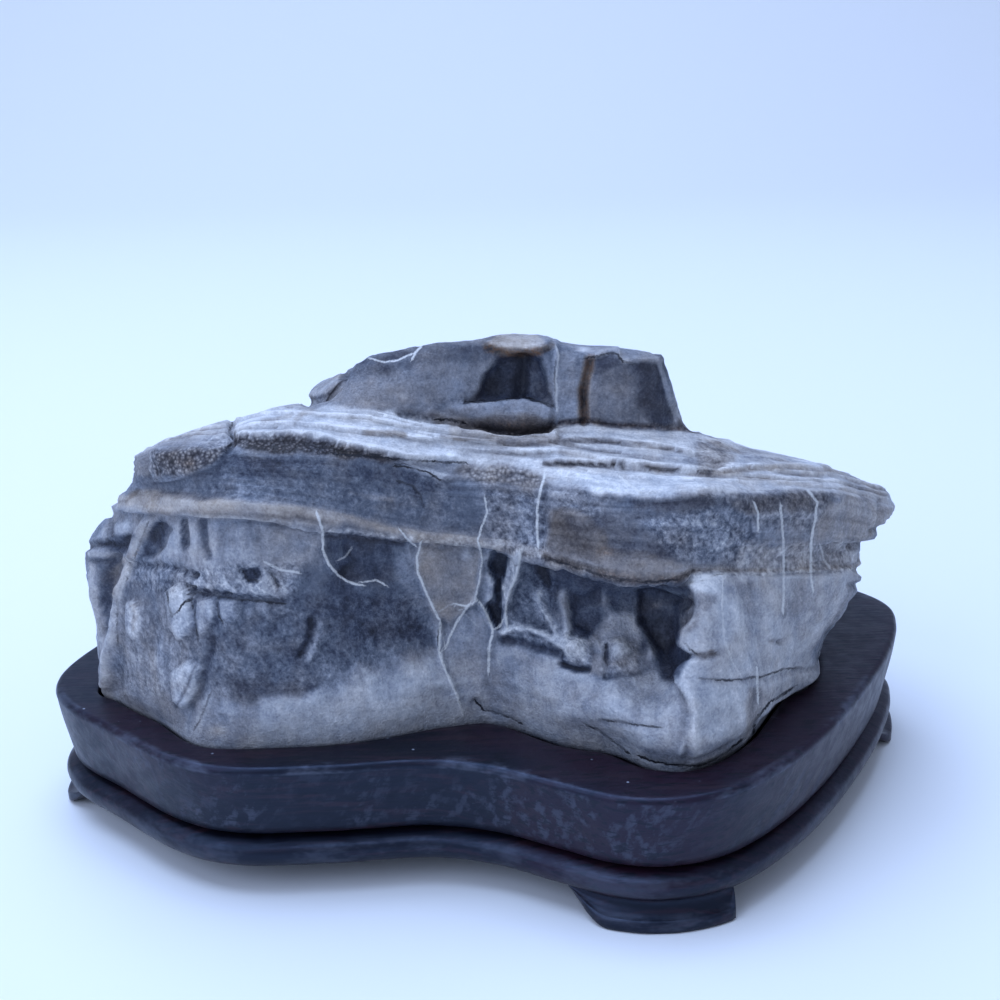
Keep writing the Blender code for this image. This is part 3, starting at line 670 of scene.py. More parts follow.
def nearest(points, stray):
    """How far each place is from a broken line on the front, and on which side of it (-1 or 1)."""
    q = face + wander * stray
    best, side = np.full(q.shape[:2], 1e9), np.ones(q.shape[:2])
    for (ax, ay), (bx, by) in zip(points, points[1:]):
        dx, dy = bx - ax, by - ay
        x, y = q[..., 0] - ax, q[..., 1] - ay
        t = np.clip((x * dx + y * dy) / (dx * dx + dy * dy), 0, 1)
        away = np.hypot(x - t * dx, y - t * dy)
        side = np.where(away < best, np.sign(dx * y - dy * x), side)
        best = np.minimum(best, away)
    return best, side


def line(points, width, stray=0.7):
    """1 along a broken line on the front, falling to 0 at the width."""
    return np.clip(1 - nearest(points, stray)[0] / width, 0, 1)


def band(points, width, stray=1.0):
    """A broken line drawn as a soft band, full in its middle third."""
    t = np.clip((1 - nearest(points, stray)[0] / width) * 1.5, 0, 1)
    return t * t * (3 - 2 * t)


def area(points, soft, stray=3.5):
    """1 inside an outline on the front, 0 outside, with an edge that is soft units wide."""
    q = face + wander * stray
    x, y = q[..., 0], q[..., 1]
    best = nearest(points + points[:1], stray)[0]
    inside = np.zeros(x.shape, bool)
    for (ax, ay), (bx, by) in zip(points, points[1:] + points[:1]):
        if ay != by:
            inside ^= ((ay > y) != (by > y)) & (x < ax + (y - ay) * (bx - ax) / (by - ay))
    t = np.clip(0.5 + np.where(inside, best, -best) / soft, 0, 1)
    return t * t * (3 - 2 * t)


def spot(x, y, wide, high, stray=2.0):
    """1 in the middle of a round spot on the front, 0 at its edge."""
    q = face + wander * stray
    t = np.clip(1 - np.hypot((q[..., 0] - x) / wide, (q[..., 1] - y) / high), 0, 1)
    return t * t * (3 - 2 * t)


def ledge(points, reach):
    """A thin shelf over a line: rises towards it from above and stops short at it."""
    xs, ys = zip(*points)
    q = face + wander * 0.8
    above = np.interp(q[..., 0], xs, ys) - q[..., 1]
    ends = np.clip(np.minimum(q[..., 0] - xs[0], xs[-1] - q[..., 0]) / 12, 0, 1)
    return ends * np.where(above > 0, np.exp(-above / reach), np.clip(1 + above / 1.5, 0, 1))


# relief on the front, in mm: what it is, and how far it stands out (minus is sunk)
CAP_HOLLOW = [(478, 398), (484, 378), (500, 360), (520, 356), (540, 362), (546, 380), (550, 400),
              (520, 398)]
CAP_SHELF = [(452, 408), (466, 404), (490, 401), (520, 398), (540, 402), (553, 408), (554, 420),
             (540, 426), (505, 427), (475, 421), (458, 415)]
CAP_FOOT = [(400, 415), (430, 419), (455, 422), (480, 428), (500, 433), (520, 435), (540, 432),
            (553, 425), (580, 422), (620, 425), (660, 428), (694, 430)]
CAP_CRACK = [(590, 358), (587, 372), (583, 390), (584, 405), (584, 422)]
CRUST_LUMP = [(150, 452), (160, 447), (180, 450), (205, 450), (228, 449), (222, 459), (205, 468),
              (185, 474), (170, 479), (155, 479), (150, 466)]
SLAB_EDGE = [(232, 437), (255, 441), (300, 438), (320, 441), (345, 449), (380, 456), (400, 459),
             (440, 461), (466, 463)]
SEAM_LINE = [(110, 509), (150, 510), (200, 514), (260, 518), (300, 523), (340, 529), (380, 535),
             (420, 538), (460, 541), (490, 544), (520, 551)]
LIP_LINE = [(505, 549), (545, 558), (575, 567), (600, 574), (620, 579), (650, 582), (675, 581),
            (692, 574)]
RIGHT_SEAM = [(692, 574), (720, 571), (760, 572), (790, 570), (856, 568)]
OLIVE_LENS = [(551, 510), (562, 507), (578, 510), (592, 518), (602, 532), (608, 545), (640, 553),
              (672, 560), (688, 568), (672, 577), (650, 579), (620, 574), (590, 563), (560, 552),
              (547, 545), (548, 528)]
RIB = [(149, 521), (142, 535), (135, 550), (129, 563), (125, 577), (119, 590), (116, 610),
       (115, 630), (111, 650), (107, 670), (106, 690)]
LEAF_A = [(166, 592), (180, 582), (187, 588), (192, 604), (196, 622), (190, 634), (178, 640),
          (170, 625)]
LEAF_B = [(197, 600), (214, 598), (217, 615), (211, 627), (201, 640), (197, 620)]
LEAF_C = [(219, 600), (236, 600), (240, 612), (232, 628), (222, 618)]
LEAF_D = [(127, 604), (134, 600), (140, 612), (141, 628), (136, 641), (129, 634)]
LEAF_E = [(172, 672), (190, 660), (200, 668), (198, 690), (186, 708), (174, 700)]
CREAM_VEIN = [(421, 543), (417, 558), (418, 572), (425, 590), (432, 605), (438, 618), (440, 635),
              (439, 650), (443, 665), (450, 680), (457, 696), (463, 715)]
WEDGE = [(420, 546), (470, 545), (480, 556), (480, 580), (474, 600), (462, 612), (450, 626),
         (440, 618), (430, 602), (421, 582), (418, 562)]
DRIP_HOLLOW = [(488, 554), (500, 552), (511, 556), (506, 570), (501, 588), (503, 612), (499, 628),
               (491, 620), (486, 606), (494, 596), (497, 580), (490, 570)]
SLATE_HOLLOW = [(521, 562), (543, 568), (550, 598), (556, 622), (552, 634), (535, 628), (518, 622),
                (509, 610), (512, 592), (519, 578)]
UNDER_LIP = [(528, 560), (560, 567), (600, 579), (640, 587), (688, 584), (690, 604), (660, 606),
             (636, 612), (600, 606), (572, 604), (550, 596), (536, 585)]
DARK_FINGERS = [(638, 600), (684, 598), (682, 630), (681, 644), (693, 653), (684, 662), (678, 678),
                (664, 678), (658, 650), (648, 634), (640, 618)]
FLANK = [(692, 574), (720, 572), (760, 573), (856, 569), (848, 590), (838, 612), (822, 632),
         (812, 650), (816, 680), (800, 684), (778, 699), (758, 720), (745, 741), (722, 757),
         (690, 767), (686, 735), (690, 715), (688, 698), (681, 685), (680, 675), (686, 664),
         (695, 656), (686, 652), (681, 645), (684, 632), (695, 618), (698, 605), (694, 594),
         (686, 584)]
NOTCH = [(233, 422), (229, 431), (234, 441), (227, 450)]
STEP_EDGE = [(691, 590), (697, 605), (694, 618), (683, 632), (680, 644), (694, 655), (684, 668),
             (680, 680), (688, 698), (690, 714), (686, 735), (680, 752)]
RELIEF = [
    # cap: hollow with a rounded shelf under it, cracks, and rims that overhang a little
    (area(CAP_HOLLOW, 14), -1.7), (line([(523, 360), (521, 380), (519, 398)], 8), -0.7),
    (area(CAP_SHELF, 6, 1), 1.3), (line([(466, 403), (500, 400), (520, 397), (553, 406)], 3.5), -0.9),
    (line([(465, 425), (500, 431), (525, 433), (548, 429)], 5), -0.9), (line(CAP_CRACK, 6), -1.1),
    (line([(556, 345), (557, 365), (556, 380), (558, 420)], 5), 0.4),
    (ledge([(482, 345), (500, 349), (520, 353), (540, 351), (558, 345)], 8), 0.9),
    (ledge([(588, 359), (605, 355), (618, 354), (622, 362), (632, 362), (660, 362)], 5), 0.7),
    (line([(657, 358), (663, 375), (669, 398), (677, 420)], 5, 0.4), 0.7),
    (line([(345, 374), (338, 386), (327, 395), (306, 402)], 5, 0.3), -1.2),
    (spot(433, 415, 12, 8), 1.0), (line(CAP_FOOT, 5), -0.7),
    (line([(360, 362), (400, 358), (420, 350)], 4), -0.3), (spot(385, 372, 26, 14), -0.3),
    # thin ledges between the cap and the brow
    (ledge([(243, 427), (280, 427), (330, 430), (380, 437), (440, 439), (560, 446)], 5), 0.5),
    (ledge([(290, 415), (340, 418), (400, 425), (440, 431), (500, 439)], 4), 0.35),
    (ledge(SLAB_EDGE, 9), 1.3), (line(NOTCH, 4.5, 0.5), -1.3),
    (ledge([(398, 467), (420, 471), (440, 479), (460, 478)], 4), 0.5),
    (ledge([(440, 448), (480, 452), (520, 453), (600, 458), (700, 461)], 4), 0.35),
    (ledge([(556, 441), (600, 441), (640, 445), (670, 450), (700, 456)], 5), 0.6),
    (ledge([(545, 464), (600, 464), (640, 467), (680, 470), (714, 473)], 7), 0.9),
    (ledge([(695, 458), (720, 462), (739, 463)], 6), 0.6), (spot(553, 434, 7, 9), 0.7),
    (ledge([(712, 473), (760, 468), (800, 468), (838, 472)], 7), 0.6),
    (ledge([(700, 442), (715, 445), (734, 456)], 5), 0.4),
    # brow and middle band
    (area(CRUST_LUMP, 8), 0.7), (ledge([(150, 482), (172, 481), (200, 472), (228, 460)], 8), 0.5),
    (area([(548, 472), (600, 471), (700, 478), (745, 482), (700, 496), (620, 495)], 9), 0.35),
    (ledge([(585, 492), (620, 498), (660, 499), (700, 497), (740, 498)], 5), 0.5),
    (area(OLIVE_LENS, 12), 0.9), (ledge([(760, 514), (790, 516), (822, 512)], 8), 0.35),
    (ledge([(745, 541), (800, 543), (865, 541)], 5), 0.5),
    (line([(545, 478), (540, 490), (537, 510), (538, 546)], 4), 0.3),
    # seam and lip
    (ledge(SEAM_LINE, 8), 0.9), (ledge(LIP_LINE, 9), 1.3), (ledge(RIGHT_SEAM, 5), 0.8),
    (line([(170, 499), (200, 503), (240, 503), (300, 509)], 6), 0.4),
    # notches down the right end
    (line([(872, 531), (896, 527)], 5, 0.3), -0.8), (line([(852, 548), (880, 544)], 6, 0.3), -1.3),
    (line([(848, 571), (866, 569)], 3, 0.3), -0.9), (line([(842, 583), (862, 582)], 4, 0.3), -0.8),
    (line([(858, 562), (862, 575)], 4, 0.3), 0.6), (line([(880, 500), (877, 530)], 4), -0.4),
    # left end: a rib, thin plates and a groove
    (line(RIB, 8), 1.2), (line([(112, 560), (107, 585), (104, 605), (103, 630)], 9), -1.2),
    (line([(88, 547), (105, 543), (118, 547), (130, 539)], 5), -0.9),
    (line([(90, 560), (105, 561), (118, 556)], 4), -0.7), (line([(111, 512), (110, 535)], 4), -0.6),
    (spot(125, 528, 13, 12), 0.6), (line([(138, 492), (128, 500), (117, 503)], 4), -0.5),
    (area([(114, 590), (114, 568), (128, 557), (132, 562), (124, 582)], 5, 1), -0.5),
    (line([(92, 575), (96, 600), (103, 625)], 5), 0.5),
    # flutes under the seam, pits, and facets shaped like leaves
    (area([(149, 532), (164, 521), (170, 530), (162, 548), (152, 558), (141, 558)], 6), -0.8),
    (spot(150, 548, 9, 9), 0.5), (line([(183, 523), (184, 545)], 4.5), -0.8),
    (line([(202, 524), (203, 546), (208, 556)], 6), -0.7), (line([(222, 530), (221, 560)], 7), -0.25),
    (line([(240, 530), (243, 556)], 6), 0.25), (line([(258, 535), (262, 560)], 8), -0.25),
    (line([(131, 562), (150, 566), (166, 566), (182, 571), (200, 576)], 5), -0.5),
    (line([(187, 587), (197, 593), (216, 596), (238, 600), (262, 600), (282, 603)], 5), -0.8),
    (area([(238, 570), (258, 568), (263, 576), (254, 584), (246, 581)], 4, 1), -0.7),
    (line([(271, 572), (278, 586)], 4), -0.6), (spot(192, 577, 4.5, 4.5, 0.3), -1.4),
    (spot(189, 588, 6, 4, 0.3), -1.1), (spot(225, 595, 7, 4, 0.3), -0.9),
    (area(LEAF_A, 4, 0.8), 0.8), (area(LEAF_B, 4, 0.8), 0.7), (area(LEAF_C, 4, 0.8), 0.6),
    (area(LEAF_D, 5, 0.8), 0.6), (area(LEAF_E, 5, 0.8), 0.6),
    (line([(152, 600), (156, 630), (150, 655)], 9), -0.45), (line([(168, 640), (165, 660)], 8), -0.3),
    (line([(120, 600), (122, 640), (119, 690)], 6), -0.5),
    (line([(214, 640), (200, 690), (184, 722)], 6), -0.5),
    (line([(312, 618), (309, 640), (300, 656)], 6), -0.6),
    (line([(322, 622), (316, 645), (307, 660)], 6), 0.5),
    (line([(272, 632), (283, 618), (296, 612)], 6), -0.4), (spot(245, 660, 36, 30), 0.4),
    # middle: a wedge between veins, drips and hollows
    (line([(318, 516), (323, 540), (324, 556), (332, 570), (345, 580), (362, 585)], 4), 0.45),
    (spot(370, 585, 24, 15), 0.7), (line([(345, 545), (356, 560), (340, 574)], 7), -0.5),
    (spot(405, 560, 14, 26), 0.35), (line(CREAM_VEIN, 4.5, 0.4), 0.6), (area(WEDGE, 8), 0.5),
    (area(DRIP_HOLLOW, 5, 0.8), -1.5), (area(SLATE_HOLLOW, 8, 2), -0.8),
    (line([(521, 548), (520, 562), (515, 580), (509, 592), (506, 606), (506, 628)], 6, 0.5), 0.9),
    (line([(466, 606), (476, 601), (486, 612), (491, 624), (494, 631), (490, 650)], 4.5, 0.5), 0.6),
    (line([(479, 545), (482, 560), (480, 580), (474, 600)], 4, 0.5), 0.5), (spot(468, 553, 9, 11), 0.6),
    (spot(489, 556, 8, 8, 0.5), 0.7), (spot(491, 598, 8, 9, 0.5), 0.7),
    (line([(503, 633), (515, 627), (530, 629), (546, 634), (561, 646)], 5, 0.8), 0.8),
    (line([(503, 641), (520, 643), (545, 650), (560, 655)], 6), -0.7),
    # under the lip: a shaded hollow, fingers running down out of it, and pebble-like lumps
    (area(UNDER_LIP, 14), -1.0), (area(DARK_FINGERS, 8, 2), -1.1),
    (area([(572, 600), (600, 598), (604, 622), (598, 640), (588, 632), (574, 628)], 9), -0.7),
    (line([(536, 596), (544, 612), (553, 628), (562, 640)], 6, 0.5), 0.8),
    (line([(562, 596), (566, 612), (568, 626), (566, 638)], 6, 0.5), 0.9),
    (spot(576, 648, 19, 15, 0.5), 2.0), (line([(562, 664), (575, 669), (588, 669)], 5, 0.5), -1.0),
    (spot(618, 648, 17, 13, 0.5), 1.2), (line([(606, 646), (607, 660), (606, 676)], 5), -0.6),
    (spot(651, 652, 10, 16, 0.5), 1.0), (line([(606, 676), (628, 674), (642, 672)], 4), -0.5),
    (area(FLANK, 5, 1), 1.3), (line(STEP_EDGE, 5, 0.5), 0.4),
    (line([(716, 574), (724, 590), (726, 640), (740, 668), (756, 690)], 6), 0.3),
    (line([(742, 575), (744, 620), (752, 650)], 6), -0.25), (spot(772, 640, 6, 5, 0.3), -0.8),
    (line([(694, 654), (704, 655), (712, 652)], 4, 0.5), -0.6),
    (line([(700, 678), (730, 679), (760, 677), (786, 669), (812, 669)], 4, 0.5), -0.35),
    # low edge
    (line([(490, 660), (488, 690), (500, 702)], 8), -0.4),
    (line([(600, 722), (640, 726), (664, 727)], 4), -0.3),
    (line([(476, 702), (484, 710), (500, 715), (520, 724)], 5, 0.5), -0.8),
    (line([(640, 757), (664, 764), (690, 766), (722, 757), (742, 740)], 4, 0.4), -0.7),
    (line([(690, 757), (712, 750), (738, 735)], 3.5, 0.4), -0.6),
    (line([(754, 738), (757, 718), (770, 702), (794, 688)], 3.5, 0.4), -0.8),
    (line([(750, 690), (745, 705), (748, 728)], 8), -0.4),
]
low_body = np.interp(layer, (0.3, 1.0, 4.0, 4.8), (0.2, 1, 1, 0))
beds = np.stack([skin[..., 0] * 0.9, skin[..., 1] * 0.9, layer * 8 + skin[..., 2] * 0.25], -1)
flutes = np.stack([skin[..., 0], skin[..., 1], skin[..., 2] * 0.2], -1)
# thin beds weather back in small steps; each stands out at its lower edge
BEDS_PER_LAYER = 2.6
course = layer * BEDS_PER_LAYER + ripple(skin * (1, 1, 0.3), 16.0, 33, 2) * 0.8
course -= np.floor(course)
stepped = np.interp(layer, (6.2, 7.0, 8.6, 9.2, 10.8, 11.2), (0, 0.25, 0.35, 1.0, 1.0, 0))
stepped = stepped * np.clip(0.55 + ripple(beds, (14, 14, 3), 37, 2) * 0.8, 0.05, 1)
relief = sum(mask * out for mask, out in RELIEF) * facing
relief += (0.5 - course) * 0.55 * stepped
relief += ripple(beds, (26, 26, 1.6), 31, 2) * 0.16 * np.interp(layer, (4.9, 5.5, 11, 11.6), (0.4, 1, 1,
                                                                                              0.2))
relief += ripple(flutes, 3.4, 41, 3) * 0.22 * low_body
relief += ripple(skin, 7.0, 51, 2) * 0.22 + ripple(skin, 1.9, 53, 3) * 0.10
relief *= np.interp(layer, (-0.5, 0.3, 0.8), (0, 0.4, 1))


def softened(field, times):
    """A field over the skin, blurred a little more each time; columns wrap, rows don't."""
    for _ in range(times):
        field = (np.roll(field, 1, 1) + field * 2 + np.roll(field, -1, 1)) / 4
        padded = np.concatenate([field[:1], field, field[-1:]])
        field = (padded[:-2] + padded[1:-1] * 2 + padded[2:]) / 4
    return field


across = np.roll(skin, -1, 1) - np.roll(skin, 1, 1)
upward = np.gradient(skin, axis=0)
normal = np.cross(across, upward)
normal /= np.linalg.norm(normal, axis=-1, keepdims=True)
skin = skin + normal * relief[..., None]
skin[..., 2] = np.minimum(skin[..., 2], 71.3)
face = seen(skin)
# painted relief shading: hollows come out positive and get painted shade, ridges come out negative and get
# painted highlight
relief_shading = softened(relief, 24) - relief

# Tones. A tone runs from 0, near black, to 1, white; warmth from 0, cold grey, to 1, tan or brown.
LAYERS_OF_TONE = [
    # layer, tone, warmth
    (0.0, 0.66, 0.15), (1.0, 0.62, 0.15), (2.2, 0.48, 0.10), (3.4, 0.46, 0.10), (4.3, 0.52, 0.20),
    (4.8, 0.62, 0.60), (5.2, 0.64, 0.75), (5.7, 0.50, 0.35), (6.3, 0.44, 0.10), (7.6, 0.42, 0.10),
    (8.3, 0.60, 0.25), (8.9, 0.80, 0.25), (10.6, 0.82, 0.30), (11.0, 0.62, 0.50), (11.5, 0.52, 0.20),
    (12.6, 0.42, 0.15), (13.2, 0.40, 0.25), (14.0, 0.56, 0.50), (15.0, 0.60, 0.60),
]
at, tones, warmths = zip(*LAYERS_OF_TONE)
shifted = layer + ripple(skin, 9.0, 71, 3) * 0.25 * (1 - facing)
tone = np.interp(shifted, at, tones) + ripple(skin, 12.0, 73, 3) * 0.16 * (1 - facing)
warmth = np.interp(shifted, at, warmths) + ripple(skin, 10.0, 75, 3) * 0.2
WASHES = [
    # what is washed over the front: shape, tone, warmth, strength
    # cap
    (area([(300, 406), (345, 374), (375, 352), (440, 338), (480, 336), (500, 345), (484, 398), (452, 406),
           (430, 416), (380, 411)], 8), 0.50, 0.25, 0.9),
    (area([(345, 378), (356, 360), (400, 349), (440, 342), (492, 345), (502, 358), (470, 362), (430, 366),
           (380, 370)], 12), 0.31, 0.20, 0.85),
    (spot(392, 352, 22, 6), 0.18, 0.3, 0.8), (spot(470, 349, 26, 7), 0.25, 0.3, 0.7),
    (spot(368, 370, 20, 12), 0.30, 0.2, 0.6), (spot(455, 384, 42, 22), 0.60, 0.10, 0.8),
    (area([(310, 403), (345, 384), (400, 386), (430, 404), (400, 412), (340, 406)], 14), 0.60, 0.45, 0.8),
    (spot(480, 388, 22, 18), 0.33, 0.15, 0.7),
    (area([(440, 337), (484, 337), (490, 344), (460, 345), (436, 344)], 5, 1), 0.50, 0.55, 0.8),
    # painted shade inside the cap's hollow and down the crease in it
    (area(CAP_HOLLOW, 12), 0.22, 0.15, 0.95),
    (band([(522, 352), (521, 375), (518, 398)], 14), 0.09, 0.1, 0.9),
    (area([(528, 374), (546, 368), (552, 402), (534, 400), (527, 390)], 8), 0.44, 0.10, 0.8),
    (area(CAP_SHELF, 6, 1), 0.44, 0.15, 0.95),
    # painted highlight along the rounded top edge of the shelf
    (band([(470, 406), (500, 403), (520, 401), (548, 408)], 5), 0.52, 0.1, 0.7),
    (area([(470, 420), (490, 416), (520, 414), (552, 416), (550, 426), (520, 430), (485, 427)], 7), 0.20,
     0.75, 0.9),
    # painted shadow under the shelf's overhanging lip
    (area([(468, 425), (500, 427), (550, 426), (546, 432), (528, 435), (500, 433)], 4, 1), 0.14, 0.70,
     0.95),
    (area([(553, 352), (576, 352), (577, 423), (554, 424)], 5, 1), 0.54, 0.15, 0.85),
    (area([(592, 362), (660, 362), (670, 425), (588, 424)], 5, 1), 0.40, 0.35, 0.9),
    (spot(610, 402, 34, 26), 0.55, 0.25, 0.85), (spot(650, 378, 24, 40), 0.17, 0.30, 0.85),
    (area([(638, 364), (658, 362), (666, 390), (672, 424), (652, 424), (638, 404)], 9), 0.15, 0.30, 0.9),
    (area([(590, 358), (612, 354), (623, 363), (606, 372), (593, 376)], 5, 1), 0.19, 0.25, 0.9),
    (band(CAP_CRACK, 8), 0.42, 0.95, 0.95), (spot(587, 374, 6, 12), 0.56, 0.95, 0.8),
    (spot(583, 398, 5, 15), 0.16, 0.8, 0.9),
    (area([(572, 344), (604, 345), (650, 348), (662, 362), (640, 362), (622, 362), (616, 354), (590,
                                                                                                357)], 4, 1),
     0.55, 0.30, 0.9), (spot(584, 350, 12, 5, 0.5), 0.84, 0.1, 0.9),
     (spot(626, 362, 7, 4, 0.5), 0.84, 0.3, 0.9),
    (band([(657, 358), (663, 375), (669, 398), (677, 420)], 4, 0.4), 0.60, 0.25, 0.9),
    (area([(482, 345), (494, 337), (504, 331), (532, 331), (542, 339), (550, 347), (540, 350), (504,
                                                                                                349)], 4, 1),
     0.66, 0.85, 0.95),
     (band([(486, 347), (504, 352), (522, 354), (540, 351), (552, 346)], 6), 0.30, 1.0, 0.9),
    (area([(305, 401), (321, 378), (344, 375), (338, 386), (326, 396)], 4, 0.5), 0.60, 0.35, 0.9),
    (band([(321, 376), (342, 376)], 4, 0.3), 0.60, 0.80, 0.8),
    (band([(345, 374), (338, 386), (327, 395), (304, 402)], 2.5, 0.3), 0.25, 0.4, 0.8),
    (spot(433, 414, 11, 7, 1), 0.24, 0.80, 0.95), (spot(412, 412, 7, 4), 0.45, 0.6, 0.7),
    (band([(560, 422), (584, 422), (620, 425), (660, 427), (700, 431)], 4), 0.28, 0.75, 0.8),
    (band([(560, 428), (600, 428), (650, 433), (690, 437)], 5), 0.86, 0.40, 0.7),
    (area([(676, 418), (690, 420), (702, 430), (690, 434), (678, 428)], 4, 1), 0.30, 0.6, 0.8),
    # ledges
    (area([(213, 430), (240, 420), (300, 408), (340, 407), (400, 415), (450, 424), (500, 436), (560, 436),
           (620, 428), (700, 432), (740, 446), (838, 466), (893, 486), (870, 492), (800, 491), (740, 493),
           (700, 498), (640, 498), (600, 492), (560, 484), (530, 472), (466, 464), (400, 460), (345, 449),
           (320, 441), (236, 438)], 8), 0.83, 0.25, 0.9),
    (area([(240, 424), (300, 410), (400, 418), (500, 440), (466, 462), (400, 458), (330, 440)], 14), 0.88,
     0.12, 0.6),
    (area([(450, 423), (480, 430), (500, 436), (556, 434), (562, 442), (500, 442), (450, 434)], 5), 0.66,
     0.70, 0.85),
    (band([(366, 433), (385, 434), (404, 435)], 5), 0.50, 0.90, 0.85),
    (band([(440, 436), (470, 439), (500, 441)], 3), 0.48, 0.75, 0.8),
    (band([(262, 421), (275, 420), (290, 417)], 3), 0.52, 0.8, 0.5),
    (band([(296, 420), (305, 412), (312, 411)], 4), 0.6, 0.7, 0.5),
    (band([(500, 442), (540, 443), (560, 441), (600, 441), (640, 445), (670, 450), (690, 455)], 5), 0.42,
     0.60, 0.85),
    (band([(560, 445), (600, 445), (640, 449), (690, 456), (715, 458)], 2.5), 0.93, 0.30, 0.8),
    (band([(560, 450), (600, 452), (650, 458), (700, 464)], 5), 0.62, 0.35, 0.75),
    (band([(545, 464), (600, 464), (640, 467), (680, 470), (714, 473)], 4), 0.26, 0.65, 0.9),
    (band([(560, 469), (620, 471), (700, 476)], 3.5), 0.92, 0.45, 0.7),
    (spot(500, 452, 60, 6), 0.66, 0.3, 0.5),
    (area([(698, 440), (716, 441), (732, 449), (739, 456), (736, 462), (714, 471), (700, 468), (696,
                                                                                                455)], 5),
     0.60, 0.65, 0.85), (band([(700, 443), (714, 447), (726, 455)], 3), 0.34, 0.7, 0.6),
    (area([(742, 447), (800, 459), (832, 464), (800, 464), (742, 465)], 5), 0.64, 0.30, 0.8),
    (band([(714, 473), (740, 470), (770, 467), (800, 467), (838, 471)], 4.5), 0.60, 0.85, 0.85),
    (area([(838, 473), (868, 480), (892, 492), (880, 500), (862, 492), (846, 486)], 6), 0.66, 0.55, 0.8),
    (band([(740, 478), (780, 482), (810, 485)], 3), 0.64, 0.75, 0.5),
    (spot(712, 479, 16, 4), 0.62, 0.4, 0.7),
    (area([(548, 473), (600, 470), (700, 477), (708, 486), (690, 492), (650, 496), (620, 494), (590, 487),
           (562, 482)], 7), 0.84, 0.0, 0.95),
    # the crumbling edge of the slab and the lump left of it
    (area([(232, 433), (250, 437), (275, 440), (300, 437), (320, 439), (345, 447), (380, 456), (402, 460),
           (380, 462), (340, 458), (300, 454), (260, 450), (235, 446)], 5), 0.20, 0.70, 0.95),
    (area([(398, 461), (466, 464), (454, 471), (440, 478), (424, 471)], 4, 1), 0.80, 0.10, 0.9),
    (area([(455, 474), (462, 467), (482, 464), (505, 466), (530, 470), (548, 482), (534, 492), (508, 485),
           (480, 481), (462, 481)], 8), 0.50, 0.65, 0.85),
    (area([(150, 450), (160, 442), (176, 434), (205, 436), (229, 440), (226, 450), (205, 449), (180, 449),
           (160, 447)], 5), 0.62, 0.30, 0.9),
    (area([(212, 436), (213, 427), (228, 422), (232, 426), (229, 436), (222, 440)], 4, 1), 0.66, 0.35, 0.8),
    (area(CRUST_LUMP, 7), 0.34, 0.60, 0.95), (spot(186, 463, 14, 7), 0.26, 0.9, 0.6),
    (area([(132, 472), (136, 458), (150, 451), (153, 468), (148, 477), (138, 476)], 5, 1), 0.58, 0.50, 0.9),
    # middle band
    (area([(150, 482), (176, 479), (206, 470), (228, 455), (300, 458), (345, 461), (400, 468), (440, 481),
           (460, 500), (470, 530), (420, 530), (370, 518), (320, 506), (260, 497), (200, 497), (170,
                                                                                                492)], 9),
     0.43, 0.05, 0.9),
    (area([(222, 454), (300, 456), (345, 461), (395, 468), (436, 482), (426, 500), (400, 484), (350, 478),
           (300, 474), (250, 474), (214, 470)], 14), 0.27, 0.05, 0.8),
           (spot(268, 466, 40, 12), 0.18, 0.2, 0.6),
    (area([(430, 490), (480, 485), (490, 520), (470, 528), (440, 520)], 18), 0.38, 0.05, 0.6),
    (band([(350, 493), (372, 497), (392, 499)], 4), 0.58, 0.5, 0.6), (spot(440, 470, 20, 4), 0.7, 0.1, 0.3),
    (area([(486, 490), (520, 494), (540, 498), (538, 546), (510, 544), (484, 536)], 10), 0.52, 0.10, 0.8),
    (area([(545, 486), (600, 498), (620, 512), (596, 516), (575, 506), (552, 508)], 8), 0.58, 0.25, 0.75),
    (area([(590, 514), (640, 508), (672, 520), (690, 545), (688, 562), (650, 562), (610, 548), (602,
                                                                                                532)], 10),
     0.36, 0.35, 0.85),
    (area(OLIVE_LENS, 7), 0.29, 0.80, 0.95), (spot(575, 528, 26, 20), 0.25, 0.75, 0.7),
    (area([(600, 556), (640, 560), (686, 566), (672, 578), (640, 577), (604, 566)], 7), 0.45, 0.70, 0.8),
    (spot(636, 566, 14, 5), 0.22, 0.9, 0.6), (spot(606, 552, 14, 6), 0.34, 0.95, 0.6),
    (area([(630, 500), (660, 497), (706, 494), (724, 504), (700, 514), (660, 512), (636, 508)], 9), 0.28,
     0.40, 0.85),
    (area([(640, 518), (700, 512), (744, 518), (744, 540), (730, 562), (690, 562), (664, 548)], 10), 0.50,
     0.05, 0.85),
    (spot(718, 545, 26, 20), 0.70, 0.0, 0.8), (spot(668, 524, 22, 8), 0.62, 0.0, 0.6),
    (area([(724, 500), (760, 496), (795, 493), (836, 492), (836, 504), (815, 514), (780, 514), (740,
                                                                                                512)], 9),
     0.30, 0.60, 0.85), (spot(748, 498, 26, 7), 0.5, 0.3, 0.6), (spot(738, 530, 12, 14), 0.3, 0.4, 0.6),
    (area([(748, 514), (818, 512), (812, 540), (750, 540)], 10), 0.56, 0.25, 0.8),
    (area([(818, 512), (836, 500), (862, 494), (882, 502), (893, 506), (890, 520), (876, 534), (862, 544),
           (820, 543), (812, 530)], 7), 0.60, 0.60, 0.9),
    (area([(836, 493), (850, 485), (872, 490), (890, 500), (878, 508), (862, 497)], 5), 0.70, 0.50, 0.8),
    (band([(848, 498), (868, 500), (878, 508)], 3), 0.45, 0.55, 0.6),
    (band([(876, 500), (874, 532)], 3), 0.72, 0.4, 0.6),
    (area([(742, 544), (860, 543), (857, 566), (740, 568)], 6), 0.66, 0.50, 0.85),
    (band([(745, 541), (800, 542), (862, 540)], 3), 0.42, 0.40, 0.8),
    # seam
    (area([(118, 498), (140, 490), (162, 493), (172, 499), (200, 501), (240, 501), (280, 505), (320, 510),
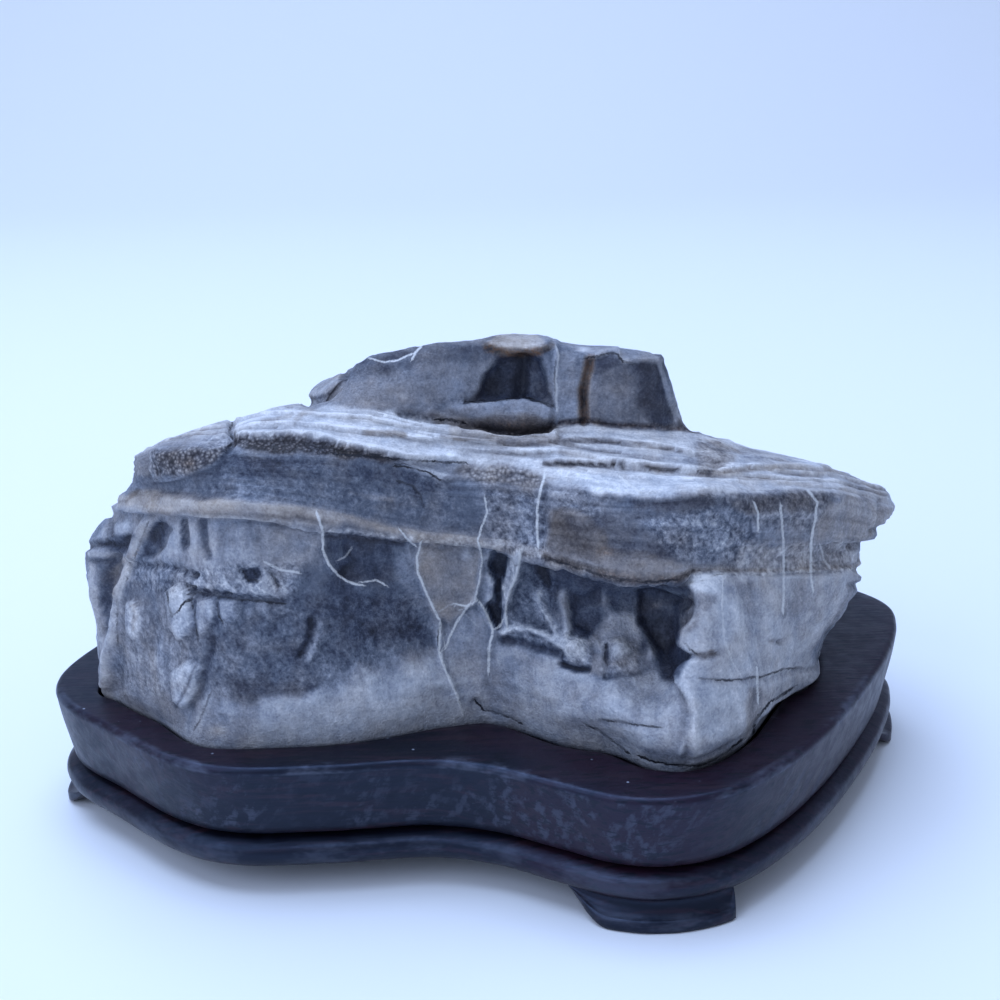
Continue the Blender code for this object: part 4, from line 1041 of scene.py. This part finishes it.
           (350, 516), (380, 524), (418, 535), (380, 534), (340, 528), (300, 521), (260, 517), (200, 514),
           (150, 510), (120, 508)], 5, 2), 0.64, 0.80, 0.95), (spot(190, 497, 30, 7), 0.42, 0.95, 0.5),
    (band([(172, 503), (240, 506), (300, 512), (340, 521)], 5), 0.72, 0.85, 0.6),
    (band([(150, 512), (200, 513), (240, 514), (300, 519), (330, 525)], 2.5), 0.34, 0.7, 0.7),
    (band([(200, 517), (260, 520), (330, 529), (400, 537)], 2.5), 0.70, 0.6, 0.7),
    (band([(240, 521), (300, 526), (330, 531)], 2.5), 0.30, 0.3, 0.6),
    (spot(395, 506, 60, 8), 0.5, 0.35, 0.35),
    (area([(418, 533), (460, 536), (486, 540), (486, 547), (440, 544), (418, 542)], 4, 1), 0.62, 0.85, 0.9),
    (band([(486, 541), (520, 549), (548, 556)], 3.5), 0.66, 0.5, 0.8),
    (band([(500, 545), (520, 553), (545, 560)], 2), 0.2, 0.5, 0.7),
    (band([(545, 556), (575, 565), (600, 573), (620, 578), (650, 582), (676, 580), (692, 573)], 5), 0.17,
     0.95, 0.95),
    (band([(600, 570), (640, 577), (676, 575)], 3), 0.42, 1.0, 0.6), (band(RIGHT_SEAM, 4), 0.58, 0.75, 0.8),
    # lower body, left: rib, plates and flutes
    (area([(90, 545), (117, 512), (148, 518), (140, 540), (120, 556), (92, 556)], 6), 0.56, 0.35, 0.9),
    (area([(97, 536), (110, 520), (110, 538), (104, 546)], 4, 1), 0.66, 0.2, 0.8),
    (spot(126, 526, 14, 12), 0.68, 0.1, 0.8),
    (area([(106, 542), (118, 534), (134, 536), (134, 546), (124, 553), (108, 549)], 5), 0.22, 0.15, 0.9),
    (band([(86, 547), (100, 541), (108, 547)], 4), 0.2, 0.3, 0.7),
    (band([(90, 553), (108, 554), (122, 558)], 5), 0.62, 0.35, 0.85),
    (area([(92, 560), (118, 560), (112, 575), (108, 600), (103, 620), (97, 600)], 6), 0.26, 0.15, 0.85),
    (area([(88, 560), (96, 566), (100, 600), (108, 640), (106, 690), (98, 650), (90, 610)], 6), 0.66,
     0.40, 0.9),
    (area([(111, 596), (112, 568), (126, 556), (136, 546), (132, 562), (124, 582), (116, 600)], 5, 1),
     0.54, 0.85, 0.9),
    (spot(136, 553, 5, 4, 0.5), 0.30, 1.0, 0.9), (band(RIB, 8), 0.66, 0.45, 0.85),
    (area([(150, 532), (163, 520), (171, 528), (163, 546), (152, 560), (140, 558)], 5), 0.24, 0.05, 0.9),
    (spot(151, 546, 9, 8), 0.40, 0.0, 0.6),
    (area([(172, 522), (300, 528), (318, 536), (314, 560), (290, 574), (240, 568), (200, 572), (172, 566),
           (160, 556)], 9), 0.61, 0.25, 0.9), (spot(296, 545, 22, 18), 0.50, 0.1, 0.5),
    # painted shade in the flutes' grooves and painted highlight on the ridges between them
    (band([(184, 522), (184, 546)], 5), 0.27, 0.1, 0.85),
    (band([(203, 523), (204, 548), (208, 556)], 6), 0.34, 0.1, 0.75),
    (band([(178, 526), (177, 552)], 5), 0.68, 0.3, 0.6),
    (band([(193, 526), (192, 552)], 6), 0.68, 0.3, 0.6),
    (band([(222, 530), (221, 552)], 5), 0.50, 0.2, 0.5), (spot(245, 550, 40, 18), 0.66, 0.2, 0.5),
    (area([(132, 562), (170, 558), (200, 572), (180, 586), (134, 584)], 7), 0.50, 0.10, 0.8),
    (area([(128, 580), (164, 580), (166, 600), (150, 610), (124, 604)], 8), 0.42, 0.25, 0.85),
    (area([(186, 572), (238, 570), (296, 562), (304, 580), (284, 598), (240, 596), (190, 586)], 8), 0.64,
     0.15, 0.8),
    (area([(238, 570), (258, 568), (263, 576), (254, 584), (246, 581)], 4, 1), 0.28, 0.1, 0.9),
    (area([(118, 600), (165, 600), (200, 640), (214, 660), (204, 700), (212, 742), (160, 719), (106, 692),
           (110, 640)], 10), 0.56, 0.30, 0.9), (spot(150, 632, 20, 34), 0.44, 0.3, 0.6),
    (area(LEAF_A, 5, 0.8), 0.72, 0.15, 0.85), (area(LEAF_B, 5, 0.8), 0.66, 0.15, 0.8),
    (area(LEAF_C, 5, 0.8), 0.60, 0.1, 0.8),
    (area(LEAF_D, 5, 0.8), 0.76, 0.25, 0.9), (area(LEAF_E, 6, 0.8), 0.74, 0.05, 0.8),
    (band([(133, 606), (134, 628)], 3), 0.45, 0.9, 0.6),
    (spot(150, 660, 18, 12), 0.68, 0.35, 0.6), (spot(130, 676, 14, 12), 0.42, 0.4, 0.6),
    (area([(180, 722), (196, 706), (208, 690), (213, 700), (200, 735), (188, 738)], 5), 0.68, 0.1, 0.7),
    (band([(214, 652), (205, 690), (190, 722)], 5), 0.42, 0.2, 0.6),
    (band([(196, 668), (182, 696), (176, 706)], 3), 0.40, 0.2, 0.6),
    # lower body, middle: the dark patch and the pale foot below it
    (area([(203, 650), (214, 622), (244, 606), (284, 600), (300, 582), (318, 560), (326, 532), (362, 532),
           (404, 540), (414, 556), (408, 578), (420, 600), (436, 625), (438, 646), (416, 656), (378, 656),
           (340, 668), (300, 684), (262, 694), (228, 692), (206, 676)], 20, 6), 0.35, 0.05, 0.95),
    (area([(325, 532), (362, 533), (402, 540), (402, 560), (396, 580), (420, 606), (436, 628), (424, 642),
           (370, 640), (334, 620), (322, 584)], 18, 6), 0.22, 0.05, 0.9),
    (spot(352, 574, 26, 16), 0.19, 0.55, 0.6), (spot(368, 545, 34, 14), 0.16, 0.15, 0.6),
    (spot(380, 625, 46, 20), 0.20, 0.0, 0.6),
    (spot(250, 655, 40, 34), 0.42, 0.05, 0.7), (spot(300, 645, 26, 22), 0.38, 0.35, 0.5),
    (spot(290, 612, 26, 12), 0.46, 0.0, 0.6),
    (band([(320, 622), (314, 645), (306, 660)], 5), 0.52, 0.05, 0.6),
    (band([(310, 620), (307, 640), (298, 655)], 5), 0.18, 0.0, 0.7),
    (area([(228, 684), (300, 680), (330, 678), (300, 700), (262, 706), (232, 702)], 12, 6), 0.26, 0.35,
     0.75),
    (area([(206, 744), (232, 716), (262, 704), (300, 698), (360, 682), (410, 668), (441, 658), (463, 716),
           (400, 732), (340, 743), (260, 747)], 16, 6), 0.76, 0.15, 0.95),
    (area([(208, 704), (262, 704), (262, 724), (236, 742), (210, 738)], 16, 6), 0.56, 0.25, 0.7),
    (spot(425, 682, 30, 16), 0.82, 0.0, 0.5), (spot(218, 731, 15, 11), 0.74, 0.95, 0.85),
    (area([(388, 546), (416, 546), (420, 576), (412, 592), (394, 576)], 8), 0.50, 0.10, 0.8),
    (area([(406, 586), (424, 592), (438, 622), (430, 630), (410, 606)], 8), 0.56, 0.15, 0.6),
    (band([(332, 537), (366, 538), (404, 543)], 5), 0.15, 0.3, 0.8),
    (band([(330, 531), (370, 534), (412, 539)], 2.2), 0.74, 0.4, 0.8),
    # lower body, middle: wedge, veins and drips
    (area(WEDGE, 8), 0.54, 0.65, 0.9), (spot(440, 606, 16, 16), 0.62, 0.95, 0.7),
    (spot(458, 584, 12, 10), 0.66, 0.8, 0.5),
    (area([(420, 622), (446, 624), (470, 610), (486, 620), (490, 660), (446, 656)], 8), 0.60, 0.15, 0.85),
    (area([(480, 548), (546, 560), (552, 600), (560, 636), (548, 636), (510, 622), (490, 628), (478,
                                                                                                604)], 7),
     0.48, 0.05, 0.85),
    (area(SLATE_HOLLOW, 8, 2), 0.42, 0.0, 0.8), (area(DRIP_HOLLOW, 4, 0.8), 0.13, 0.0, 0.95),
    (area([(508, 556), (520, 554), (519, 578), (509, 604), (501, 606), (502, 588), (506, 572)], 4, 0.8),
     0.74, 0.1, 0.9),
    (spot(489, 556, 8, 9, 0.5), 0.78, 0.05, 0.9), (spot(491, 599, 8, 9, 0.5), 0.72, 0.05, 0.9),
    (spot(468, 553, 10, 12), 0.62, 0.2, 0.6),
    (spot(540, 566, 16, 10), 0.62, 0.0, 0.6), (spot(528, 610, 12, 12), 0.38, 0.0, 0.6),
    (band([(503, 632), (515, 627), (530, 629), (546, 634), (561, 646)], 5, 1), 0.84, 0.1, 0.85),
    (band([(504, 640), (522, 642), (546, 650), (562, 658)], 6), 0.24, 0.05, 0.8),
    (area([(446, 658), (490, 660), (500, 650), (560, 658), (600, 680), (640, 680), (684, 684), (690, 720),
           (690, 764), (650, 764), (600, 730), (540, 734), (500, 716), (464, 714)], 10), 0.68, 0.20, 0.9),
    (area([(480, 668), (508, 672), (520, 700), (500, 712), (484, 700)], 14, 5), 0.54, 0.35, 0.6),
    (spot(548, 682, 34, 18), 0.74, 0.05, 0.6), (spot(660, 696, 26, 16), 0.56, 0.15, 0.7),
    (spot(576, 722, 30, 10), 0.50, 0.3, 0.6),
    (spot(520, 662, 24, 14), 0.46, 0.05, 0.6), (spot(640, 742, 24, 12), 0.80, 0.1, 0.5),
    # lower body, right: the shade under the lip, its fingers and lumps
    (area([(528, 562), (560, 568), (600, 580), (640, 587), (690, 584), (692, 600), (682, 640), (694, 654),
           (682, 672), (664, 678), (640, 646), (636, 616), (600, 612), (596, 640), (566, 632), (548,
                                                                                                596)], 8),
     0.22, 0.05, 0.95),
    (area([(600, 583), (640, 588), (690, 587), (688, 598), (650, 600), (616, 594)], 7), 0.32, -0.1, 0.7),
    (area(DARK_FINGERS, 7, 2), 0.14, 0.15, 0.9), (spot(656, 606, 9, 6), 0.34, 0.7, 0.7),
    (spot(560, 582, 24, 10), 0.17, 0.0, 0.6),
    (band([(536, 596), (544, 612), (553, 628), (562, 640)], 7, 1), 0.68, 0.1, 0.85),
    (band([(562, 594), (566, 612), (568, 626), (566, 638)], 8, 1), 0.62, 0.25, 0.85),
    (area([(602, 618), (620, 610), (636, 616), (641, 640), (638, 656), (641, 674), (604, 676), (600, 656),
           (588, 640)], 8), 0.66, 0.35, 0.9), (band([(606, 600), (606, 614)], 6), 0.46, 0.3, 0.6),
    (spot(624, 604, 6, 12), 0.40, 0.3, 0.6), (spot(630, 620, 8, 10), 0.5, 0.2, 0.5),
    (area([(560, 640), (570, 634), (586, 640), (590, 655), (584, 662), (566, 660)], 5, 0.8), 0.82, 0.1,
     0.9),
    # painted shadow under the round lump above it
    (band([(563, 664), (575, 669), (588, 669)], 4, 0.6), 0.13, 0.1, 0.9),
    (spot(618, 648, 13, 10), 0.74, 0.2, 0.7),
    (band([(606, 644), (607, 658)], 3), 0.26, 0.2, 0.7), (spot(618, 664, 16, 6), 0.54, 0.7, 0.6),
    (spot(652, 654, 8, 16), 0.64, 0.2, 0.8),
    (area([(588, 650), (602, 656), (604, 676), (590, 672)], 7), 0.58, 0.6, 0.7),
    (spot(648, 678, 16, 8), 0.68, 0.2, 0.7),
    # right flank
    (area(FLANK, 6, 1), 0.72, 0.25, 0.95),
    (area([(690, 576), (720, 573), (728, 588), (712, 596), (698, 592), (686, 584)], 5, 1),
                                            0.90, 0.05, 0.95),
    (area([(686, 592), (712, 592), (720, 600), (700, 612), (692, 632), (682, 634)], 8), 0.48, 0.45, 0.8),
    (area([(724, 580), (800, 576), (846, 580), (820, 620), (740, 612)], 12), 0.62, 0.35, 0.7),
    (spot(742, 590, 26, 10), 0.46, 0.2, 0.7), (spot(800, 604, 30, 26), 0.58, 0.45, 0.6),
    (band([(716, 576), (722, 592), (724, 640)], 7), 0.80, 0.1, 0.6),
    (spot(700, 640, 18, 10), 0.80, 0.1, 0.5),
    (area([(700, 684), (760, 684), (756, 716), (740, 738), (700, 742), (694, 720)], 12), 0.74, 0.05, 0.7),
    (area([(748, 690), (762, 684), (764, 700), (752, 730), (746, 736), (744, 708)], 5), 0.56, 0.65, 0.7),
    (spot(772, 692, 18, 9), 0.56, 0.4, 0.6), (spot(772, 641, 5, 4, 0.5), 0.35, 0.6, 0.8),
    (spot(712, 652, 5, 4, 0.5), 0.30, 0.9, 0.9),
    (band([(694, 654), (704, 655), (712, 652)], 4), 0.40, 0.6, 0.7),
    (area([(640, 748), (690, 752), (740, 736), (742, 744), (722, 758), (690, 767), (656, 763)], 6), 0.48,
     0.15, 0.7),
    (band([(820, 575), (818, 620)], 6), 0.66, 0.6, 0.5), (band(STEP_EDGE, 3, 0.5), 0.78, 0.2, 0.5),
]
for shape, light, hue, strength in WASHES:
    share = np.clip(shape * strength, 0, 1) * facing
    tone = tone + (light - tone) * share
    warmth = warmth + (hue - warmth) * share
# painted relief shading: ridges and the edges of steps and beds are painted paler as painted highlight,
# hollows darker as painted shade, and the recess under each bed's step gets a painted shadow with some brown
# dirt
shade_and_dirt_under_beds = np.exp(-(1 - course) / 0.14) * stepped
tone -= np.clip(relief_shading, -0.3, 0.5) * 0.34 + shade_and_dirt_under_beds * 0.16 * (1 - facing * 0.3)
warmth += shade_and_dirt_under_beds * 0.25
tone += ripple(skin, (5, 5, 4), 81, 3) * 0.035 + ripple(skin, 1.3, 83, 2) * 0.030


def most(strokes):
    """The strongest of several strokes at each place on the front."""
    top = np.zeros(layer.shape)
    for shape, strength in strokes:
        top = np.maximum(top, shape * strength)
    return top * facing


coarse = most([
    # where the stone is rough with small crystals
    (area([(640, 516), (700, 510), (746, 516), (756, 540), (744, 564), (690, 563), (664, 550)], 12), 1.0),
    (area([(740, 544), (856, 544), (856, 568), (720, 570)], 8), 0.65),
    (area([(486, 490), (546, 492), (548, 560), (486, 548)], 12), 0.8),
    (area([(545, 486), (610, 498), (600, 520), (560, 512)], 8), 0.6),
    (area([(700, 494), (830, 492), (815, 530), (740, 530)], 10), 0.6),
    (area([(128, 558), (200, 566), (306, 560), (300, 600), (200, 600), (130, 588)], 10), 0.8),
    (area([(200, 610), (250, 600), (320, 596), (420, 594), (436, 640), (330, 690), (220, 700)], 18), 0.45),
    (area([(486, 560), (556, 570), (560, 650), (500, 636)], 8), 0.6),
    (area([(560, 632), (592, 636), (590, 664), (560, 662)], 5), 0.7),
    (area([(222, 452), (440, 470), (470, 530), (330, 505), (200, 496)], 14), 0.35),
    (area([(600, 636), (642, 640), (642, 678), (604, 678)], 8), 0.5),
    (area([(110, 600), (210, 620), (206, 700), (120, 690)], 14), 0.4),
    (area([(720, 440), (740, 470), (700, 475), (694, 440)], 6), 0.5),
    (line([(330, 532), (400, 538), (500, 547), (560, 562), (620, 580)], 5), 0.9),
    (band(RIGHT_SEAM, 6), 0.8),
])
crumbly = most([
    (area(CRUST_LUMP, 6), 1.0),
    (area([(232, 435), (300, 438), (345, 447), (402, 460), (340, 457), (235, 447)], 5), 1.0),
    (area([(456, 472), (480, 465), (530, 470), (548, 484), (510, 486), (470, 482)], 8), 0.7),
    (line(CAP_FOOT, 5), 0.6),
    (line(LIP_LINE, 5), 0.8), (area([(210, 436), (240, 438), (230, 452), (205, 452)], 5), 0.5),
])
rusty = most([
    (band([(488, 348), (504, 353), (522, 355), (540, 352)], 6), 0.9), (band(CAP_CRACK, 7), 0.55),
    (spot(136, 553, 5, 4, 0.5), 0.9),
    (line([(600, 573), (640, 580), (678, 579)], 4), 0.5), (spot(510, 424, 30, 6), 0.5),
    (spot(606, 552, 16, 8), 0.4),
    (line([(560, 423), (620, 425), (690, 430)], 3), 0.4), (spot(711, 652, 4, 3, 0.3), 0.5),
    (spot(186, 463, 12, 6), 0.4),
])
# hairlines, kept as a distance to each side so that they stay thin between the skin's points
HAIR_REACH = 8.0


def hairlines(lines):
    """A gate that is 1 on the lines and 0 beyond their reach, and the signed distance to them."""
    gate, beside = np.zeros(layer.shape), np.full(layer.shape, HAIR_REACH)
    for points, strength in lines:
        away, side = nearest(points, 0.5)
        value = np.clip(1 - away / HAIR_REACH, 0, 1) * strength
        beside = np.where(value > gate, np.clip(away, 0, HAIR_REACH) * side, beside)
        gate = np.maximum(gate, value)
    return gate * facing, beside


VEINS = [
    ([(545, 474), (541, 488), (537, 510), (537, 528), (538, 546)], 1.0),
    ([(808, 491), (817, 502), (815, 520), (811, 545), (811, 567), (813, 590)], 0.9),
    ([(317, 514), (322, 530), (323, 550), (328, 564), (338, 575), (350, 582), (362, 585)], 1.0),
    ([(520, 552), (519, 566), (513, 584), (507, 600), (506, 614), (507, 628)], 1.0),
    ([(421, 543), (417, 558), (418, 572), (425, 590), (432, 605), (438, 618)], 0.9),
    ([(440, 622), (440, 636), (439, 650), (443, 664), (450, 680), (457, 696), (463, 714)], 1.0),
    ([(412, 359), (416, 352), (421, 347)], 1.0), ([(754, 503), (758, 512), (758, 530)], 0.8),
    ([(781, 505), (783, 540), (784, 580), (783, 612)], 0.8), ([(620, 476), (630, 486), (640, 492)], 0.8),
    ([(468, 606), (458, 620), (450, 636), (446, 648)], 0.9),
    ([(486, 612), (491, 624), (493, 631), (489, 648), (489, 672)], 1.0),
    ([(757, 668), (757, 686), (758, 702)], 0.9), ([(556, 346), (559, 356), (556, 380), (557, 412)], 0.55),
    ([(265, 562), (282, 570), (300, 573)], 0.7), ([(140, 530), (133, 562), (123, 585), (117, 606)], 0.5),
]
BRANCHES = [
    ([(485, 498), (487, 512), (482, 526), (478, 540), (482, 560), (480, 580), (474, 602)], 0.9),
    ([(370, 359), (384, 362), (398, 360), (412, 354)], 0.75), ([(362, 582), (376, 580), (386, 585)], 0.9),
    ([(400, 530), (408, 540), (416, 546)], 0.8), ([(455, 604), (466, 606), (478, 600), (486, 611)], 0.8),
    ([(494, 630), (500, 626), (503, 620)], 0.8),
    ([(724, 578), (722, 600), (724, 640), (732, 660), (742, 678)], 0.6),
    ([(742, 600), (744, 640), (756, 664)], 0.5), ([(770, 590), (772, 630)], 0.4),
    ([(700, 640), (720, 660), (735, 684)], 0.4),
    ([(820, 545), (824, 560), (830, 568)], 0.6), ([(338, 560), (346, 556), (352, 548)], 0.6),
    ([(790, 620), (796, 650), (800, 660)], 0.4),
    ([(440, 612), (450, 604), (462, 612), (478, 626)], 0.5), ([(798, 575), (800, 600)], 0.4),
    ([(757, 576), (757, 612)], 0.5),
]
CRACKS = [
    ([(466, 403), (484, 401), (500, 400), (520, 397), (536, 400), (553, 407)], 1.0),
    ([(330, 453), (345, 455), (370, 457), (400, 459), (430, 461), (466, 463)], 1.0),
    ([(588, 358), (600, 356), (612, 353), (618, 355), (623, 362), (634, 364)], 1.0),
    ([(436, 419), (450, 420), (464, 423)], 1.0),
    ([(640, 757), (656, 762), (690, 766), (706, 764), (722, 756), (741, 740)], 1.0),
    ([(752, 738), (755, 720), (770, 702), (794, 687)], 1.0),
    ([(476, 702), (484, 710), (500, 714), (520, 723)], 1.0),
    ([(585, 724), (600, 731), (614, 742), (628, 754)], 0.9),
    ([(233, 423), (229, 431), (234, 441), (227, 449)], 0.9),
    ([(167, 592), (168, 606), (172, 616), (180, 608), (186, 600)], 0.8),
    ([(187, 586), (192, 602), (196, 620), (198, 640)], 0.8),
    ([(217, 600), (218, 614), (222, 622)], 0.7), ([(243, 572), (248, 580), (258, 581)], 0.9),
    ([(271, 574), (279, 586)], 0.8),
    ([(189, 590), (205, 594), (220, 597), (236, 600), (262, 601), (284, 604)], 0.8),
    ([(440, 628), (438, 640), (440, 652)], 0.9),
    ([(700, 678), (730, 680), (760, 677), (784, 669), (800, 668)], 0.7),
    ([(602, 720), (640, 725), (660, 727)], 0.7),
    ([(395, 466), (412, 468), (428, 472), (440, 479)], 0.8),
    ([(398, 481), (412, 485), (420, 494), (424, 506)], 0.7),
    ([(606, 644), (605, 656), (607, 664)], 0.8), ([(686, 645), (695, 653)], 1.0),
    ([(118, 600), (117, 625), (118, 645)], 0.6),
    ([(548, 464), (600, 464), (640, 467), (680, 470), (713, 472)], 0.7),
    ([(545, 558), (575, 567), (600, 575), (640, 582), (676, 581)], 0.8),
    ([(556, 362), (555, 380), (556, 398)], 0.6), ([(110, 513), (109, 530), (106, 542)], 0.6),
    ([(148, 522), (142, 540), (134, 560), (127, 580)], 0.6),
    ([(197, 664), (186, 690), (176, 708)], 0.6), ([(212, 690), (202, 716), (194, 730)], 0.6),
    ([(400, 698), (416, 698), (430, 697)], 0.5),
]
marks = {"layer": layer, "tone": tone, "warmth": warmth, "coarse": coarse, "crumbly": crumbly, "rusty": rusty}
marks["stepped"] = np.interp(layer, (5.5, 6.5, 8.8, 9.2, 11, 11.3), (0.1, 0.5, 0.6, 1, 1, 0.1))
for name, lines in (("vein", VEINS), ("branch", BRANCHES), ("crack", CRACKS)):
    marks[name], marks[name + "_side"] = hairlines(lines)
stone = net("natural_stone", skin, (*foot[:, :2].mean(0), SOLE), STONE_CROWN, marks)

rock = bpy.data.materials.new("layered_stone")
rock.use_nodes = True
nodes, links = rock.node_tree.nodes, rock.node_tree.links
shader = nodes["Principled BSDF"]
shader.inputs["Specular IOR Level"].default_value = 0.4


def added(first, *parts):
    """A value with several weighted ones added: each part is (value, weight)."""
    for value, weight in parts:
        first = sums("ADD", first, sums("MULTIPLY", value, weight))
    return first


def tone_ramp(value, stops):
    """A colour for each tone, through the given stops."""
    node = nodes.new("ShaderNodeValToRGB")
    ramp = node.color_ramp
    while len(ramp.elements) < len(stops):
        ramp.elements.new(0.5)
    for element, (place, stop) in zip(ramp.elements, stops):
        element.position = place
        element.color = (*stop, 1)
    links.new(value, node.inputs["Fac"])
    return node.outputs["Color"]


sand = grain(3000, 2, 0.6)
fleck = grain(1300, 4, 0.65)
cloud = grain(330, 5, 0.6)
hue_drift = grain(210, 4, 0.6)
streaks = grain(1100, 3, 0.6, (1, 1, 0.30), (0, 38, 0))
scored = grain(900, 3, 0.55, (1, 1, 0.07), (0, 8, 0))
apart = nodes.new("ShaderNodeSeparateXYZ")
links.new(surface_places(), apart.inputs[0])
bed = nodes.new("ShaderNodeCombineXYZ")
links.new(sums("MULTIPLY", apart.outputs["X"], 0.05), bed.inputs["X"])
links.new(sums("MULTIPLY", apart.outputs["Y"], 0.05), bed.inputs["Y"])
links.new(sums("MULTIPLY", mark_value("layer"), 0.004), bed.inputs["Z"])
bedding = grain(1000, 4, 0.65, source=bed.outputs[0])
crumbs = nodes.new("ShaderNodeTexVoronoi")
crumbs.inputs["Scale"].default_value = 2000
links.new(surface_places(), crumbs.inputs["Vector"])
crumb = sums("SUBTRACT", 0.45, crumbs.outputs["Distance"])
rough_here, crumbly_here = mark_value("coarse"), mark_value("crumbly")
flank_here = between(mark_value("layer"), 4.8, 4.2)

tone_here = added(mark_value("tone"), (cloud, 0.34), (fleck, 0.30), (sand, 0.30))
tone_here = added(tone_here, (sums("MULTIPLY", fleck, rough_here), 1.0),
                  (sums("MULTIPLY", streaks, rough_here), 0.9), (sums("MULTIPLY", crumb, crumbly_here),
                                                                 0.75),
                  (sums("MULTIPLY", bedding, mark_value("stepped")), 0.55), (sums("MULTIPLY", scored,
                                                                                  flank_here), 0.22))
COLD_TONES = [(0.0, (0.009, 0.012, 0.024)), (0.2, (0.034, 0.043, 0.072)), (0.4, (0.105, 0.122, 0.158)),
              (0.6, (0.245, 0.262, 0.305)), (0.8, (0.455, 0.465, 0.490)), (1.0, (0.76, 0.75, 0.74))]
WARM_TONES = [(0.0, (0.018, 0.013, 0.012)), (0.2, (0.055, 0.042, 0.037)), (0.4, (0.150, 0.122, 0.104)),
              (0.6, (0.300, 0.250, 0.208)), (0.8, (0.500, 0.435, 0.375)), (1.0, (0.77, 0.71, 0.65))]
RUST_TONES = [(0.0, (0.020, 0.010, 0.007)), (0.4, (0.150, 0.075, 0.040)), (0.8, (0.420, 0.260, 0.150)),
              (1.0, (0.60, 0.45, 0.33))]
warm_here = sums("ADD", mark_value("warmth"), sums("MULTIPLY", hue_drift, 1.2), clamp=True)
colour = blend(warm_here, tone_ramp(tone_here, COLD_TONES), tone_ramp(tone_here, WARM_TONES))
rust_here = sums("MULTIPLY", mark_value("rusty"), between(fleck, -0.12, 0.10))
colour = blend(rust_here, colour, tone_ramp(tone_here, RUST_TONES))


def hairline(name, half_width, wander_by):
    """1 on the hairlines of a name, 0 beside them."""
    beside = added(mark_value(name + "_side"), (fleck, wander_by))
    drawn = between(sums("ABSOLUTE", beside, 0), half_width * 2.2, half_width * 0.7)
    return sums("MULTIPLY", drawn, between(mark_value(name), 0.30, 0.75))


cracked = hairline("crack", 0.75, 6.0)
veined = sums("MAXIMUM", hairline("vein", 0.85, 3.0), hairline("branch", 0.65, 3.0))
veined = sums("MULTIPLY", veined, between(sand, -0.20, 0.0, 0.45, 0.9))
colour = blend(sums("MULTIPLY", cracked, between(cloud, -0.10, 0.06, 0.35, 1.0)), colour, (0.012, 0.012,
                                                                                           0.018))
colour = blend(veined, colour, (0.66, 0.65, 0.63))
links.new(colour, shader.inputs["Base Color"])
links.new(between(sums("ADD", fleck, sums("MULTIPLY", sand, 0.5)), -0.15, 0.15, 0.66, 0.44),
          shader.inputs["Roughness"])
height = added(sums("MULTIPLY", sand, 0.6), (fleck, 0.8), (bedding, 0.5))
height = added(height, (sums("MULTIPLY", streaks, rough_here), 1.6), (sums("MULTIPLY", fleck, rough_here),
                                                                      1.6),
               (sums("MULTIPLY", crumb, crumbly_here), 1.2), (sums("MULTIPLY", scored, flank_here), 0.8),
               (cracked, -0.5), (veined, 0.25))
bump = nodes.new("ShaderNodeBump")
bump.inputs["Strength"].default_value = 0.7
bump.inputs["Distance"].default_value = 0.00030
links.new(height, bump.inputs["Height"])
links.new(bump.outputs["Normal"], shader.inputs["Normal"])
stone.data.materials.append(rock)
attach(stone, "root")
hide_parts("stone")
